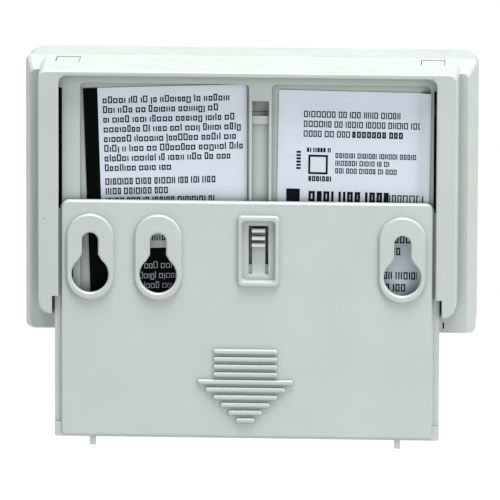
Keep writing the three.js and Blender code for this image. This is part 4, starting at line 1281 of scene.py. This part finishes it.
def add_to_scene(name, data):
    obj = bpy.data.objects.new(name, data)
    bpy.context.scene.collection.objects.link(obj)
    return obj


def direction(elevation, bearing):
    """The unit vector that points that way from the object."""
    up = math.radians(elevation)
    turn = math.radians(bearing)
    return Vector((-math.sin(turn) * math.cos(up), math.cos(turn) * math.cos(up), math.sin(up)))


def floor_material():
    """Pale, nearly matt paper."""
    nodes = Nodes("floor")
    tone = nodes.patches(3, 2, 0.0, 1.0)
    base = nodes.mixed(tone, (0.535, 0.535, 0.535, 1), (0.55, 0.55, 0.55, 1))
    gloss = nodes.patches(8, 2, 0.85, 0.95)
    return nodes.finish(base, gloss)


def make_floor():
    body = bmesh.new()
    bmesh.ops.create_grid(body, x_segments=2, y_segments=2, size=FLOOR_REACH)
    mesh = bpy.data.meshes.new("floor")
    body.to_mesh(mesh)
    body.free()
    mesh.materials.append(floor_material())
    floor = add_to_scene("floor", mesh)
    floor.location.z = FLOOR_Z


def make_key_light():
    """A soft far light from high up, behind the object."""
    light = bpy.data.lights.new("key", "SUN")
    light.energy = KEY_LIGHT["strength"]
    light.angle = math.radians(KEY_LIGHT["spread"])
    way = direction(KEY_LIGHT["elevation"], KEY_LIGHT["bearing"])
    add_to_scene("key", light).rotation_euler = way.to_track_quat("Z", "Y").to_euler()


def make_side_light():
    """A softbox near the picture's right, which lights that side a little more. The camera doesn't see it."""
    light = bpy.data.lights.new("side", "AREA")
    light.energy = SIDE_LIGHT["power"]
    light.size = SIDE_LIGHT["size"]
    lamp = add_to_scene("side", light)
    lamp.location = SIDE_LIGHT["place"]
    lamp.rotation_euler = lamp.location.to_track_quat("Z", "Y").to_euler()
    lamp.visible_camera = False


def make_world():
    """A dim cool sky lights the object, and what is seen past the floor is as pale as the floor."""
    world = bpy.data.worlds.new("studio")
    world.use_nodes = True
    tree = world.node_tree
    sky = tree.nodes["Background"]
    backdrop = tree.nodes.new("ShaderNodeBackground")
    for node, light in ((sky, SKY), (backdrop, BACKDROP)):
        node.inputs["Color"].default_value = light["colour"]
        node.inputs["Strength"].default_value = light["strength"]
    seen = tree.nodes.new("ShaderNodeLightPath")
    mix = tree.nodes.new("ShaderNodeMixShader")
    tree.links.new(seen.outputs["Is Camera Ray"], mix.inputs["Fac"])
    tree.links.new(sky.outputs["Background"], mix.inputs[1])
    tree.links.new(backdrop.outputs["Background"], mix.inputs[2])
    tree.links.new(mix.outputs["Shader"], tree.nodes["World Output"].inputs["Surface"])
    bpy.context.scene.world = world


def make_camera():
    low, high = CAD_BOX
    middle = (Vector(low) + Vector(high)) / 2 + AIM_FROM_MIDDLE
    back = direction(VIEW["elevation"], VIEW["bearing"])
    data = bpy.data.cameras.new("camera")
    data.lens = VIEW["lens"]
    data.sensor_width = 36
    data.clip_end = FAR_CLIP
    camera = add_to_scene("camera", data)
    camera.location = middle + back * VIEW["distance"]
    aim = back.to_track_quat("Z", "Y").to_matrix() @ Matrix.Rotation(math.radians(VIEW["roll"]), 3, "Z")
    camera.rotation_euler = aim.to_euler()
    bpy.context.scene.camera = camera


make_camera()
build_pieces()
dress_cad_nodes()
make_floor()
make_world()
make_key_light()
make_side_light()
bpy.context.scene.view_settings.view_transform = "Standard"
bpy.data.collections.remove(WORKBENCH)
